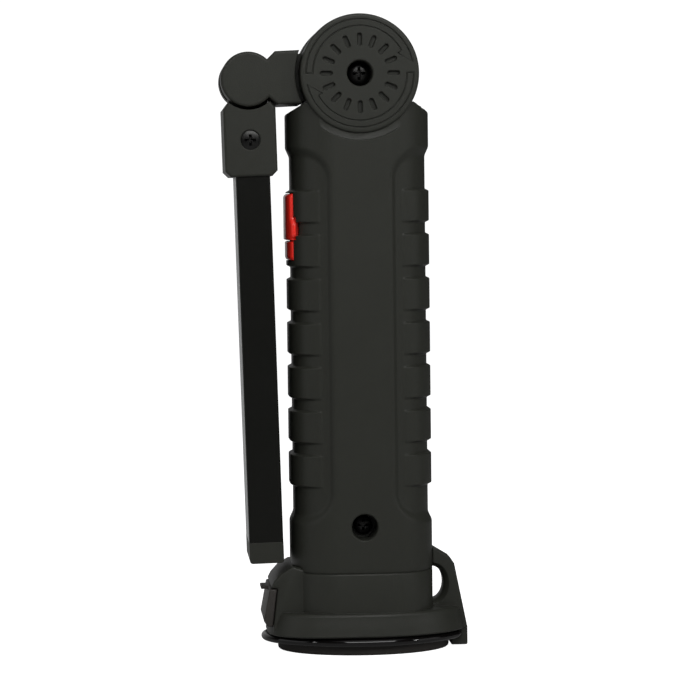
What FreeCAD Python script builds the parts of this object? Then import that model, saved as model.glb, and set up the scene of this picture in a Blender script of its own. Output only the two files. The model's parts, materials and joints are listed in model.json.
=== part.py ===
"""Folding LED work light: a flat light blade on a two-pivot arm, folded against a moulded grip.

Frame: millimetres, +Z up the grip, -X the front edge with the switch and the folded blade, -Y the near
side. The origin is the centre of the foot's resting face. Every piece is modelled where it lies when
the light is folded shut and standing on its foot.
"""

import FreeCAD, Part
import math
import os

V = FreeCAD.Vector
Y_AXIS = V(0, 1, 0)
Z_AXIS = V(0, 0, 1)

# ---- grip ----------------------------------------------------------------------------------------
GRIP_WIDTH = 42.2
GRIP_HALF = GRIP_WIDTH / 2
HEAD_Z = 171.1
CHEEK_R = 17.4
GRIP_DEPTH = 36.0
GRIP_CORNER = 14.0
GRIP_WALL = 2.8
SEAM_Z = 24.2
SHOULDER_Z = HEAD_Z - 11.4
SHOULDER_RISE = 3.1
SHOULDER_RUN = GRIP_HALF - CHEEK_R + 1.5
PANEL_HALF = 9.6
RECESS_DEPTH = 1.15
RECESS_TOP_Z = SHOULDER_Z - 11.4
RECESS_BOTTOM_Z = 38.4
RECESS_CORNER = 9.0
PAD_COUNT = 7
PAD_HEIGHT = 9.4
PAD_GAP = 3.6
PAD_TOP_Z = 137.0
PAD_INNER_X = 12.9
BOSS_WALL = 1.7

# ---- main hinge ----------------------------------------------------------------------------------
CHEEK_INNER = 7.5
CHEEK_WALL = 2.4
CHEEK_CHAMFER = 0.6
POCKET_R = CHEEK_R + 1.4
POCKET_DEPTH = 0.8
SLOT_COUNT = 16
SLOT_INNER_R = 8.0
SLOT_OUTER_R = 11.7
SLOT_WIDTH = 1.3
SLOT_DEPTH = 0.7
ARROW_INNER_R = CHEEK_R - 3.6
ARROW_OUTER_R = CHEEK_R - 1.7
ARROW_SWEEP = 155.0
ARROW_HEAD_SWEEP = 13.0
ARROW_DEPTH = 0.35
BOLT_R = 2.0
BOLT_HEAD_R = 3.4
BOLT_HEAD_HEIGHT = 2.4
BOLT_RECESS_R = 3.75
BOLT_RECESS_DEPTH = 6.0
NUT_ACROSS_FLATS = 7.0
NUT_HEIGHT = 3.2
BUSH_WALL = 1.45
WASHER_THICKNESS = 0.8
WASHER_R = 9.0
WASHER_SEAT = 0.4

# ---- arm -----------------------------------------------------------------------------------------
BLADE_WIDTH = 26.0
BLADE_THICKNESS = 10.1
ARM_LENGTH = GRIP_HALF + 11.4
ARM_DROOP = 2.3
ARM_HALF_HEIGHT = 7.8
ARM_HALF_DEPTH = BLADE_WIDTH / 2 + 1.0
ARM_WALL = 2.2
ARM_EDGE = 0.8
BARREL_R = 8.06
STOP_START = 5.8
STOP_END = 8.2
PIN_R = 1.5
PIN_DEPTH_IN_EAR = 6.0
TONGUE_HALF = 4.7
TONGUE_R = 7.7
BLADE_WASHER_R = 5.0
BLADE_WASHER_THICKNESS = 0.4

# ---- blade ---------------------------------------------------------------------------------------
BLADE_LEAN = 1.35
BLADE_OFFSET = 0.4
BLADE_REACH = 142.6
BLADE_EDGE = 0.7
CHANNEL_WALL = 1.6
END_CAP_LENGTH = 6.2
END_CAP_CORNER = 0.9
SOCKET_WIDTH = BLADE_THICKNESS + 5.3
SOCKET_TOP = 6.4
SOCKET_BOTTOM = 28.5
SOCKET_HORN = 6.0
SOCKET_SHOULDER = 8.6
SOCKET_BEVEL = 1.6
SOCKET_GAP_R = 8.96
SOCKET_GRIP = 7.0
SOCKET_SCREW_DROP = 17.8
SOCKET_SCREW_RECESS_R = 3.05
SOCKET_SCREW_HEAD_R = 2.85
LENS_THICKNESS = 1.6
LENS_LIP = 1.2
LED_BOARD_THICKNESS = 1.0
LED_STRIP_WIDTH = 8.0
LED_STRIP_THICKNESS = 0.7

# ---- switch --------------------------------------------------------------------------------------
BUTTON_TOP_Z = 136.2
BUTTON_BOTTOM_Z = 122.4
BUTTON_HALF = 10.1
BUTTON_NECK_HALF = 8.6
BUTTON_PROUD = 0.7
BUTTON_WING_HALF = 11.2
BUTTON_WING_Z = 126.0
BUTTON_WING_HEIGHT = 6.0
BUTTON_TRAVEL = 0.8
BUTTON_BACK = 3.05
BUTTON_RIM_BACK = 2.2
FLANGE_SET_BACK = 1.2
FLANGE_THICKNESS = 1.0
SURROUND_BOTTOM_Z = 116.5
SURROUND_PROUD = 0.35
TACT_SIZE = 6.0
TACT_HEIGHT = 1.8

# ---- power and boards ----------------------------------------------------------------------------
CELL_R = 9.15
CELL_LENGTH = 65.0
CELL_X = 4.5
CELL_BOTTOM_Z = 47.0
CARRIER_WALL = 1.4
BOARD_THICKNESS = 1.2
BOARD_HALF_WIDTH = 10.0
BOARD_BOTTOM_Z = 98.0
BOARD_TOP_Z = 148.0
TAB_THICKNESS = 0.3
TAB_WIDTH = 6.0
LEAD_R = 1.0

# ---- grip screw ----------------------------------------------------------------------------------
GRIP_SCREW_Z = 37.9
GRIP_SCREW_RECESS_R = 3.85
GRIP_SCREW_RECESS_DEPTH = 9.0
GRIP_SCREW_R = 1.5
GRIP_SCREW_HEAD_R = 2.9
GRIP_SCREW_HEAD_HEIGHT = 1.8
GRIP_SCREW_BITE = 9.0

# ---- base ----------------------------------------------------------------------------------------
SKIRT_TOP_Z = 12.5
SKIRT_BOTTOM_Z = 5.6
SKIRT_CENTRE_X = 1.35
SKIRT_HALF_LENGTH = GRIP_HALF + 8.95
SKIRT_HALF_DEPTH = 20.5
SKIRT_TAPER = 1.6
BASE_FLOOR_Z = 6.4
BASE_WALL = 2.4
SPIGOT_HEIGHT = 4.0
SPIGOT_WALL = 1.6
SPIGOT_BEAD = 0.7
PORT_HALF_DEPTH = 12.6
PORT_FACE_TOP_X = -GRIP_HALF - 4.5
PORT_FACE_BOTTOM_X = -GRIP_HALF - 5.9
PORT_LIP_Z = 19.7
PORT_FOOT_Z = 8.2
PORT_CENTRE_Z = 13.85
COVER_THICKNESS = 2.5
COVER_TAB_PROUD = 2.2
COVER_TAB_THICKNESS = 1.0
LOOP_HALF_DEPTH = 4.75
LOOP_HOLE_WIDTH = 3.5
LOOP_HOLE_TOP_Z = 24.4
LOOP_HOLE_BOTTOM_Z = 14.0
HEEL_HALF_DEPTH = 4.2
HEEL_INNER_X = GRIP_HALF + 5.5
HEEL_OUTER_X = GRIP_HALF + 10.5
HEEL_BOTTOM_Z = 0.5
FOOT_THICKNESS = 2.9
FOOT_HALF_LENGTH = GRIP_HALF + 4.6
FOOT_HALF_DEPTH = 18.4
FOOT_CENTRE_X = 0.5
FOOT_EDGE = 0.6
MAGNET_R = 7.0
MAGNET_HEIGHT = 3.0
MAGNET_SKIN = 0.9
MAGNET_SPREAD = 11.5
PLATE_THICKNESS = 1.0

# ---- charging socket -----------------------------------------------------------------------------
USB_WIDTH = 8.94
USB_HEIGHT = 3.26
USB_LENGTH = 7.35
USB_WALL = 0.3

# ---- bail ----------------------------------------------------------------------------------------
BAIL_WIRE_R = 1.1
BAIL_PIVOT_X = GRIP_HALF + 7.5
BAIL_Z = 4.0
BAIL_HALF_LENGTH = GRIP_HALF + 8.0
BAIL_HALF_DEPTH = 20.0
BAIL_SIDE_R = BAIL_HALF_LENGTH**2 / 23.5225

# ---- fits ----------------------------------------------------------------------------------------
RUNNING = 0.05
SNUG = 0.1
MOVING_GAP = 0.3
PART_GAP = 0.25

BLADE_PIVOT_X = -ARM_LENGTH * math.cos(math.radians(ARM_DROOP))
BLADE_PIVOT_Z = HEAD_Z - ARM_LENGTH * math.sin(math.radians(ARM_DROOP))
DRUM_HALF = CHEEK_INNER - (WASHER_THICKNESS - WASHER_SEAT) - MOVING_GAP
EAR_INNER = TONGUE_HALF + MOVING_GAP
BUSH_R = BOLT_R + RUNNING + BUSH_WALL
NEAR_Y = -GRIP_DEPTH / 2


# ---- shape helpers -------------------------------------------------------------------------------
def block(x, y, z):
    """A box from (low, high) pairs along X, Y and Z."""
    return Part.makeBox(x[1] - x[0], y[1] - y[0], z[1] - z[0], V(x[0], y[0], z[0]))


def rod_y(radius, y_low, y_high, x=0.0, z=0.0):
    """A round bar along Y."""
    return Part.makeCylinder(radius, y_high - y_low, V(x, y_low, z), Y_AXIS)


def rod_z(radius, z_low, z_high, x=0.0, y=0.0):
    """A round bar along Z."""
    return Part.makeCylinder(radius, z_high - z_low, V(x, y, z_low), Z_AXIS)


def loop(steps):
    """A closed wire from points: a step is an end point, or (a point on the arc, an end point)."""
    edges = []
    last = steps[-1][1] if isinstance(steps[-1], tuple) else steps[-1]
    for step in steps:
        if isinstance(step, tuple):
            edges.append(Part.Arc(last, step[0], step[1]).toShape())
            last = step[1]
        else:
            edges.append(Part.LineSegment(last, step).toShape())
            last = step
    return Part.Wire(edges)


def side_prism(steps, half_depth):
    """A side outline of (x, z) points, or pairs of them for arcs, made as thick as |Y| <= half_depth."""
    def lift(point):
        return V(point[0], -half_depth, point[1])

    lifted = [tuple(lift(p) for p in s) if isinstance(s[0], tuple) else lift(s) for s in steps]
    return Part.Face(loop(lifted)).extrude(V(0, 2 * half_depth, 0))


def rounded_bar(width, depth, corner, z_low, z_high):
    """An upright bar with a rounded rectangular section, centred on the Z axis."""
    bar = block((-width / 2, width / 2), (-depth / 2, depth / 2), (z_low, z_high))
    upright = [e for e in bar.Edges if abs(e.tangentAt(e.FirstParameter).z) > 0.9]
    return bar.makeFillet(corner, upright)


def oval(half_length, half_depth, z, centre_x):
    """An elliptical wire lying flat at height z."""
    centre = V(centre_x, 0, z)
    ellipse = Part.Ellipse(centre + V(half_length, 0, 0), centre + V(0, half_depth, 0), centre)
    return Part.Wire(ellipse.toShape())


def oval_slab(half_length, half_depth, z_low, z_high, centre_x):
    """An upright slab with an elliptical outline."""
    outline = Part.Face(oval(half_length, half_depth, z_low, centre_x))
    return outline.extrude(V(0, 0, z_high - z_low))


def join(first, *others):
    """Several solids fused into one, with needless edges removed."""
    return first.fuse(list(others)).removeSplitter()


def take(solid, *cutters):
    """A solid with each cutter taken away."""
    return solid.cut(list(cutters))


def near_half(shape):
    """What lies on the near side of the mid plane."""
    return cut_half(shape, -1)


def far_half(shape):
    """What lies on the far side of the mid plane."""
    return cut_half(shape, 1)


def cut_half(shape, side):
    """What lies on one side of the mid plane: side -1 is near, 1 is far."""
    box = shape.BoundBox
    y = (min(side, 0) * box.YLength, max(side, 0) * box.YLength)
    return shape.common(block((box.XMin - 1, box.XMax + 1), y, (box.ZMin - 1, box.ZMax + 1)))


def on_arm(shape):
    """Moves a shape from the arm's own frame (main hinge at the origin) to its place."""
    placed = shape.copy()
    placed.rotate(V(0, 0, 0), Y_AXIS, -ARM_DROOP)
    placed.translate(V(0, 0, HEAD_Z))
    return placed


def on_blade(shape):
    """Moves a shape from the blade's own frame (small hinge at the origin, blade down -Z) to its place."""
    placed = shape.copy()
    placed.rotate(V(0, 0, 0), Y_AXIS, -BLADE_LEAN)
    placed.translate(V(BLADE_PIVOT_X, 0, BLADE_PIVOT_Z))
    return placed


def edges_at_depth(shape, half_depth):
    """The edges that lie in the planes |Y| = half_depth."""
    picked = []
    for edge in shape.Edges:
        box = edge.BoundBox
        flat = box.YLength < 1e-4
        if flat and abs(abs(box.YMin) - half_depth) < 1e-4:
            picked.append(edge)
    return picked


def cross_recess(size, depth, y, x, z):
    """A cross-shaped driver recess cut from the plane y into +Y."""
    arm = size * 0.24
    reach = size / 2
    upright = block((x - arm / 2, x + arm / 2), (y, y + depth), (z - reach, z + reach))
    level = block((x - reach, x + reach), (y, y + depth), (z - arm / 2, z + arm / 2))
    return upright.fuse(level)


# ---- grip ----------------------------------------------------------------------------------------
def grip_bar(inset=0.0, z_low=SEAM_Z, z_high=HEAD_Z):
    """The grip's plain bar, or the same bar drawn in all round by inset."""
    return rounded_bar(GRIP_WIDTH - 2 * inset, GRIP_DEPTH - 2 * inset, GRIP_CORNER - inset, z_low, z_high)


def pad_blocks(side):
    """The blocks of space that the raised pads keep on one side of the grip."""
    x = sorted((side * PAD_INNER_X, side * (GRIP_HALF + 1)))
    blocks = []
    for index in range(PAD_COUNT):
        top = PAD_TOP_Z - index * (PAD_HEIGHT + PAD_GAP)
        blocks.append(block(x, (-GRIP_DEPTH, GRIP_DEPTH), (top - PAD_HEIGHT, top)))
    return blocks


def recess_field(side):
    """The sunk field on one side of the grip, as a cutter, with the pads left standing."""
    inner = side * PANEL_HALF
    outer = side * (GRIP_HALF + 1)
    bend = side * (PANEL_HALF + RECESS_CORNER)
    slant = RECESS_CORNER * (1 - math.sqrt(0.5))
    outline = [
        (outer, RECESS_TOP_Z),
        (bend, RECESS_TOP_Z),
        ((inner + side * slant, RECESS_TOP_Z - slant), (inner, RECESS_TOP_Z - RECESS_CORNER)),
        (inner, RECESS_BOTTOM_Z + RECESS_CORNER),
        ((inner + side * slant, RECESS_BOTTOM_Z + slant), (bend, RECESS_BOTTOM_Z)),
        (outer, RECESS_BOTTOM_Z),
    ]
    field = side_prism(outline, GRIP_DEPTH)
    skin = take(grip_bar(), grip_bar(RECESS_DEPTH, SEAM_Z - 1, HEAD_Z + 1))
    return take(field.common(skin), *pad_blocks(side))


def grip_outside():
    """The whole outer form of the grip, as one solid: bar, shoulders and cheek discs."""
    inner = GRIP_HALF - SHOULDER_RUN
    top = SHOULDER_Z + SHOULDER_RISE
    profile = [
        (-GRIP_HALF, SHOULDER_Z),
        (-inner, top),
        (inner, top),
        (GRIP_HALF, SHOULDER_Z),
        (GRIP_HALF, SEAM_Z),
        (-GRIP_HALF, SEAM_Z),
    ]
    bar = grip_bar().common(side_prism(profile, GRIP_DEPTH))
    bar = take(bar, recess_field(-1), recess_field(1))
    rings = take(
        rod_y(POCKET_R, NEAR_Y - 1, -NEAR_Y + 1, z=HEAD_Z),
        rod_y(POCKET_R + 1, NEAR_Y + POCKET_DEPTH, -NEAR_Y - POCKET_DEPTH, z=HEAD_Z),
    )
    disc = rod_y(CHEEK_R, NEAR_Y, -NEAR_Y, z=HEAD_Z)
    disc = disc.makeChamfer(CHEEK_CHAMFER, edges_at_depth(disc, -NEAR_Y))
    return join(take(bar, rings), disc)


def face_slots(side):
    """The ring of radial slots in one cheek's face."""
    y = sorted((side * -NEAR_Y, side * (-NEAR_Y - SLOT_DEPTH)))
    slots = []
    for index in range(SLOT_COUNT):
        slot = block((SLOT_INNER_R, SLOT_OUTER_R), y, (-SLOT_WIDTH / 2, SLOT_WIDTH / 2))
        slot.rotate(V(0, 0, 0), Y_AXIS, index * 360 / SLOT_COUNT)
        slot.translate(V(0, 0, HEAD_Z))
        slots.append(slot)
    return slots


def polar(radius, degrees):
    """A point of a cheek's face in (x, z), measured from the hinge axis."""
    angle = math.radians(degrees)
    return (radius * math.cos(angle), HEAD_Z + radius * math.sin(angle))


def face_arrow(side, start):
    """One curved rotation arrow, sunk into a cheek's face, running clockwise from the angle start."""
    neck = start - ARROW_SWEEP
    middle = (start + neck) / 2
    tip = neck - ARROW_HEAD_SWEEP
    outline = [
        (polar(ARROW_OUTER_R, middle), polar(ARROW_OUTER_R, tip)),
        polar(ARROW_INNER_R - 1.2, neck + 2),
        polar(ARROW_INNER_R, neck + 3),
        (polar(ARROW_INNER_R, middle), polar(ARROW_INNER_R, start)),
        polar(ARROW_OUTER_R, start),
    ]
    arrow = side_prism(outline, GRIP_DEPTH)
    y = sorted((side * -NEAR_Y, side * (-NEAR_Y - ARROW_DEPTH)))
    return arrow.common(block((-CHEEK_R, CHEEK_R), y, (HEAD_Z - CHEEK_R, HEAD_Z + CHEEK_R)))


def face_marks(side):
    """Everything sunk into one cheek's face."""
    return face_slots(side) + [face_arrow(side, 180), face_arrow(side, 0)]


def cheek_void(side):
    """The hollow inside one cheek, round its bolt boss."""
    y = sorted((side * (CHEEK_INNER + CHEEK_WALL), side * (-NEAR_Y - CHEEK_WALL)))
    ring = rod_y(CHEEK_R - CHEEK_WALL, y[0], y[1], z=HEAD_Z)
    boss = rod_y(BOLT_RECESS_R + CHEEK_WALL + 1, y[0] - 1, y[1] + 1, z=HEAD_Z)
    return take(ring, boss)


def grip_void():
    """The hollow inside the grip, as a cutter, closed above by the saddle under the drum."""
    top = SHOULDER_Z - GRIP_WALL
    hollow = grip_bar(GRIP_WALL, SEAM_Z - 1, top)
    saddle_half = CHEEK_INNER + CHEEK_WALL
    saddle = rod_y(CHEEK_R + MOVING_GAP + CHEEK_WALL, -saddle_half, saddle_half, z=HEAD_Z)
    return [take(hollow, saddle), cheek_void(-1), cheek_void(1)]


def switch_opening():
    """The way through the front wall for the button and its surround, with running room."""
    front = -GRIP_HALF - 2
    seat_x = (front, -GRIP_HALF + BUTTON_RIM_BACK + BUTTON_TRAVEL + PART_GAP)
    z = (SURROUND_BOTTOM_Z - SNUG, BUTTON_TOP_Z + PART_GAP)
    neck_half = BUTTON_NECK_HALF + PART_GAP
    half = BUTTON_HALF + PART_GAP
    wing_half = BUTTON_WING_HALF + PART_GAP
    wing = BUTTON_WING_HEIGHT / 2 + PART_GAP
    way = block((front, -GRIP_HALF + GRIP_WALL + 2), (-neck_half, neck_half), z)
    seat = block(seat_x, (-half, half), z)
    wings = block(seat_x, (-wing_half, wing_half), (BUTTON_WING_Z - wing, BUTTON_WING_Z + wing))
    return join(way, seat, wings)


def screw_bosses():
    """The two bosses that the grip screw joins, from wall to wall across the mid plane."""
    radius = GRIP_SCREW_RECESS_R + BOSS_WALL
    reach = -NEAR_Y - RECESS_DEPTH
    return rod_y(radius, -reach, reach, z=GRIP_SCREW_Z)


def grip_screw_holes():
    """The counterbore, clearance hole and thread hole of the grip screw."""
    seat = NEAR_Y + GRIP_SCREW_RECESS_DEPTH
    return [
        rod_y(GRIP_SCREW_RECESS_R, NEAR_Y - 1, seat, z=GRIP_SCREW_Z),
        rod_y(GRIP_SCREW_R + RUNNING, seat - 1, GRIP_SCREW_BITE + SNUG, z=GRIP_SCREW_Z),
    ]


def hex_prism(across_flats, y_low, y_high):
    """A hexagonal bar along the main hinge axis."""
    corner = across_flats / math.sqrt(3)
    points = [V(*_corner(corner, index, y_low)) for index in range(6)]
    return Part.Face(Part.makePolygon(points + [points[0]])).extrude(V(0, y_high - y_low, 0))


def _corner(radius, index, y):
    """One corner of a hexagon about the main hinge axis."""
    angle = math.radians(60 * index)
    return (radius * math.cos(angle), y, HEAD_Z + radius * math.sin(angle))


def hinge_holes():
    """The bolt's counterbore, its hole, the nut's pocket and the seats of the hinge washers."""
    seat = -NEAR_Y - BOLT_RECESS_DEPTH
    nut_floor = seat - NUT_HEIGHT
    washer_y = CHEEK_INNER + WASHER_SEAT
    washer_r = WASHER_R + SNUG
    return [
        rod_y(BOLT_RECESS_R, NEAR_Y - 1, -seat, z=HEAD_Z),
        rod_y(BOLT_R + RUNNING, -seat - 1, seat + 1, z=HEAD_Z),
        rod_y(NUT_ACROSS_FLATS / math.sqrt(3) + SNUG, seat, -NEAR_Y + 1, z=HEAD_Z),
        hex_prism(NUT_ACROSS_FLATS + 2 * SNUG, nut_floor, seat + 1),
        rod_y(washer_r, -washer_y, washer_y, z=HEAD_Z),
    ]


def spigot(clearance, height, z_low):
    """The base's spigot with its retaining bead, grown all round by clearance."""
    tube = grip_bar(GRIP_WALL + SNUG - clearance, z_low, SEAM_Z + height)
    bead_z = SEAM_Z + SPIGOT_HEIGHT / 2
    inset = GRIP_WALL + SNUG - clearance - SPIGOT_BEAD
    bead = grip_bar(inset, bead_z - SPIGOT_BEAD - clearance, bead_z + SPIGOT_BEAD + clearance)
    return tube.fuse(bead)


def make_grip_shells():
    """The two moulded halves of the grip, which meet on the mid plane."""
    body = grip_outside()
    drum_room = rod_y(CHEEK_R + MOVING_GAP, -CHEEK_INNER, CHEEK_INNER, z=HEAD_Z)
    body = take(body, drum_room, *grip_void())
    body = body.fuse(screw_bosses())
    body = take(body, switch_opening(), spigot(SNUG, SPIGOT_HEIGHT + SNUG, SEAM_Z - 1))
    body = take(body, *grip_screw_holes(), *hinge_holes())
    body = take(body, *face_marks(-1), *face_marks(1))
    return {"grip_shell_near": near_half(body), "grip_shell_far": far_half(body)}


def make_grip_screw():
    """The pan-head screw that holds the lower ends of the shells together."""
    seat = NEAR_Y + GRIP_SCREW_RECESS_DEPTH
    head = rod_y(GRIP_SCREW_HEAD_R, seat - GRIP_SCREW_HEAD_HEIGHT, seat, z=GRIP_SCREW_Z)
    rim = edges_at_depth(head, -(seat - GRIP_SCREW_HEAD_HEIGHT))
    head = head.makeFillet(GRIP_SCREW_HEAD_HEIGHT / 3, rim)
    shank = rod_y(GRIP_SCREW_R, seat, GRIP_SCREW_BITE, z=GRIP_SCREW_Z)
    recess = cross_recess(
        GRIP_SCREW_HEAD_R * 1.2, GRIP_SCREW_HEAD_HEIGHT * 0.7, seat - GRIP_SCREW_HEAD_HEIGHT, 0, GRIP_SCREW_Z
    )
    return take(head.fuse(shank), recess)


# ---- main hinge ----------------------------------------------------------------------------------
def make_hinge_bolt():
    """The bolt along the main hinge axis, its head deep in the near cheek."""
    seat = NEAR_Y + BOLT_RECESS_DEPTH
    top = seat - BOLT_HEAD_HEIGHT
    head = rod_y(BOLT_HEAD_R, top, seat, z=HEAD_Z)
    head = head.makeFillet(BOLT_HEAD_HEIGHT / 4, edges_at_depth(head, -top))
    shank = rod_y(BOLT_R, seat, -seat - SNUG, z=HEAD_Z)
    return take(head.fuse(shank), cross_recess(BOLT_HEAD_R * 1.2, BOLT_HEAD_HEIGHT * 0.6, top, 0, HEAD_Z))


def make_hinge_nut():
    """The nut in the far cheek's hexagonal pocket."""
    seat = -NEAR_Y - BOLT_RECESS_DEPTH
    return take(
        hex_prism(NUT_ACROSS_FLATS, seat - NUT_HEIGHT, seat),
        rod_y(BOLT_R, seat - NUT_HEIGHT - 1, seat + 1, z=HEAD_Z),
    )


def make_hinge_bush():
    """The steel sleeve that the arm's drum turns on, clamped between the cheeks."""
    sleeve = rod_y(BUSH_R, -CHEEK_INNER - WASHER_SEAT, CHEEK_INNER + WASHER_SEAT, z=HEAD_Z)
    return take(sleeve, rod_y(BOLT_R + RUNNING, -GRIP_DEPTH, GRIP_DEPTH, z=HEAD_Z))


def make_hinge_washers():
    """The two friction washers, one seated in each cheek."""
    rings = []
    for side in (-1, 1):
        outer = side * (CHEEK_INNER + WASHER_SEAT)
        y = sorted((outer, outer - side * WASHER_THICKNESS))
        ring = rod_y(WASHER_R, y[0], y[1], z=HEAD_Z)
        rings.append(take(ring, rod_y(BUSH_R + SNUG, -GRIP_DEPTH, GRIP_DEPTH, z=HEAD_Z)))
    return Part.makeCompound(rings)


# ---- arm -----------------------------------------------------------------------------------------
def arm_block():
    """The arm's outer block and its round barrel, in the arm's own frame, edges softened."""
    pivot = -ARM_LENGTH
    barrel_z = math.sqrt(BARREL_R**2 - STOP_START**2)
    apex = STOP_START - barrel_z * (STOP_END - STOP_START) / (ARM_HALF_HEIGHT - barrel_z)
    outline = [
        (pivot + STOP_END, ARM_HALF_HEIGHT),
        (-POCKET_R / 2, ARM_HALF_HEIGHT),
        (-POCKET_R / 2, -ARM_HALF_HEIGHT),
        (pivot + STOP_END, -ARM_HALF_HEIGHT),
        (pivot + apex, 0),
    ]
    solid = side_prism(outline, ARM_HALF_DEPTH)
    solid = solid.makeFillet(ARM_EDGE, edges_at_depth(solid, ARM_HALF_DEPTH))
    solid = take(solid, rod_y(POCKET_R, -GRIP_DEPTH, GRIP_DEPTH))
    barrel = rod_y(BARREL_R, -ARM_HALF_DEPTH, ARM_HALF_DEPTH, x=pivot)
    barrel = barrel.makeFillet(ARM_EDGE, edges_at_depth(barrel, ARM_HALF_DEPTH))
    return join(solid, barrel)


def arm_drum():
    """The drum between the cheeks and the neck that joins it to the block."""
    drum = rod_y(CHEEK_R - MOVING_GAP, -DRUM_HALF, DRUM_HALF)
    neck_half = ARM_HALF_HEIGHT - ARM_EDGE
    neck = block((-POCKET_R - ARM_WALL, -POCKET_R / 2), (-DRUM_HALF, DRUM_HALF), (-neck_half, neck_half))
    return drum.fuse(neck)


def arm_void():
    """The wire way through the arm and the hollow of its drum, in the arm's own frame."""
    half_height = ARM_HALF_HEIGHT - ARM_WALL
    half_depth = ARM_HALF_DEPTH - ARM_WALL
    low = -ARM_LENGTH + BARREL_R + ARM_WALL
    room = block((low, -POCKET_R - ARM_WALL), (-half_depth, half_depth), (-half_height, half_height))
    duct_half = DRUM_HALF - ARM_WALL
    duct = block((low, -BUSH_R - ARM_WALL), (-duct_half, duct_half), (-duct_half, duct_half))
    return [room, duct]


def make_arm_halves():
    """The two halves of the arm, which meet on the mid plane."""
    body = join(arm_block(), arm_drum())
    ear_room = rod_y(SOCKET_GAP_R, -EAR_INNER, EAR_INNER, x=-ARM_LENGTH)
    pin_half = EAR_INNER + PIN_DEPTH_IN_EAR
    washer_half = EAR_INNER + BLADE_WASHER_THICKNESS
    body = take(
        body,
        ear_room,
        rod_y(PIN_R, -pin_half, pin_half, x=-ARM_LENGTH),
        rod_y(BLADE_WASHER_R, -washer_half, washer_half, x=-ARM_LENGTH),
        rod_y(BUSH_R + RUNNING, -GRIP_DEPTH, GRIP_DEPTH),
        *arm_void(),
    )
    body = on_arm(body)
    return {"arm_near": near_half(body), "arm_far": far_half(body)}


def make_blade_pin():
    """The hidden steel pin of the small hinge, fixed in the arm's ears."""
    half = EAR_INNER + PIN_DEPTH_IN_EAR
    return on_arm(rod_y(PIN_R, -half, half, x=-ARM_LENGTH))


def make_blade_washers():
    """The two thin washers let into the arm's ears."""
    rings = []
    for side in (-1, 1):
        y = sorted((side * EAR_INNER, side * (EAR_INNER + BLADE_WASHER_THICKNESS)))
        ring = rod_y(BLADE_WASHER_R, y[0], y[1], x=-ARM_LENGTH)
        bore = rod_y(PIN_R, y[0] - 1, y[1] + 1, x=-ARM_LENGTH)
        rings.append(on_arm(take(ring, bore)))
    return Part.makeCompound(rings)


# ---- blade ---------------------------------------------------------------------------------------
def blade_bar(inset, top, bottom):
    """The blade's plain bar, drawn in by inset, between two distances from the small hinge."""
    half = BLADE_THICKNESS / 2 - inset
    half_depth = BLADE_WIDTH / 2 - inset
    x = (BLADE_OFFSET - half, BLADE_OFFSET + half)
    return block(x, (-half_depth, half_depth), (-bottom, -top))


def socket_outside():
    """The socket's outer form in the blade's own frame: horns, stop faces and a bevelled mouth."""
    half = SOCKET_WIDTH / 2
    outline = [
        (-SOCKET_HORN, -SOCKET_TOP),
        (SOCKET_HORN, -SOCKET_TOP),
        (half, -SOCKET_SHOULDER),
        (half, -SOCKET_BOTTOM + SOCKET_BEVEL),
        (half - SOCKET_BEVEL, -SOCKET_BOTTOM),
        (-half + SOCKET_BEVEL, -SOCKET_BOTTOM),
        (-half, -SOCKET_BOTTOM + SOCKET_BEVEL),
        (-half, -SOCKET_SHOULDER),
    ]
    solid = side_prism(outline, ARM_HALF_DEPTH)
    return solid.makeFillet(ARM_EDGE, edges_at_depth(solid, ARM_HALF_DEPTH))


def socket_tongue():
    """The tongue that turns on the pin, between the arm's ears."""
    neck_half = SOCKET_HORN - PART_GAP
    disc = rod_y(TONGUE_R, -TONGUE_HALF, TONGUE_HALF)
    neck = block((-neck_half, neck_half), (-TONGUE_HALF, TONGUE_HALF), (-SOCKET_TOP - 5, 0))
    return disc.fuse(neck)


def socket_void():
    """The socket's mouth for the channel and the wire room above it."""
    mouth_top = SOCKET_BOTTOM - SOCKET_GRIP
    mouth = blade_bar(-SNUG, mouth_top, SOCKET_BOTTOM + 1)
    half = SOCKET_WIDTH / 2 - ARM_WALL
    room_top = SOCKET_GAP_R + ARM_WALL + 0.6
    half_depth = ARM_HALF_DEPTH - ARM_WALL
    room = block((-half, half), (-half_depth, half_depth), (-mouth_top, -room_top))
    boss = rod_y(SOCKET_SCREW_RECESS_R + BOSS_WALL / 2, -GRIP_DEPTH, GRIP_DEPTH, z=-SOCKET_SCREW_DROP)
    return [mouth, take(room, boss)]


def socket_screw_form(clearance):
    """The countersunk socket screw in the blade's own frame, grown by clearance."""
    face = -ARM_HALF_DEPTH
    head_r = SOCKET_SCREW_HEAD_R + clearance
    shank_r = PIN_R + clearance
    sunk = face + 0.5
    cone = Part.makeCone(head_r, shank_r, head_r - shank_r, V(0, sunk, -SOCKET_SCREW_DROP), Y_AXIS)
    shank = rod_y(shank_r, sunk, ARM_HALF_DEPTH - ARM_WALL - 1, z=-SOCKET_SCREW_DROP)
    return cone.fuse(shank)


def make_socket_halves():
    """The two halves of the blade's socket, which meet on the mid plane."""
    hollow_top = rod_y(SOCKET_GAP_R, -GRIP_DEPTH, GRIP_DEPTH)
    body = take(socket_outside(), hollow_top).fuse(socket_tongue())
    sunk = rod_y(SOCKET_SCREW_RECESS_R, -ARM_HALF_DEPTH - 1, -ARM_HALF_DEPTH + 0.5, z=-SOCKET_SCREW_DROP)
    body = take(
        body,
        rod_y(PIN_R + RUNNING, -GRIP_DEPTH, GRIP_DEPTH),
        sunk,
        socket_screw_form(RUNNING),
        *socket_void(),
    )
    body = on_blade(body)
    return {"socket_near": near_half(body), "socket_far": far_half(body)}


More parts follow.
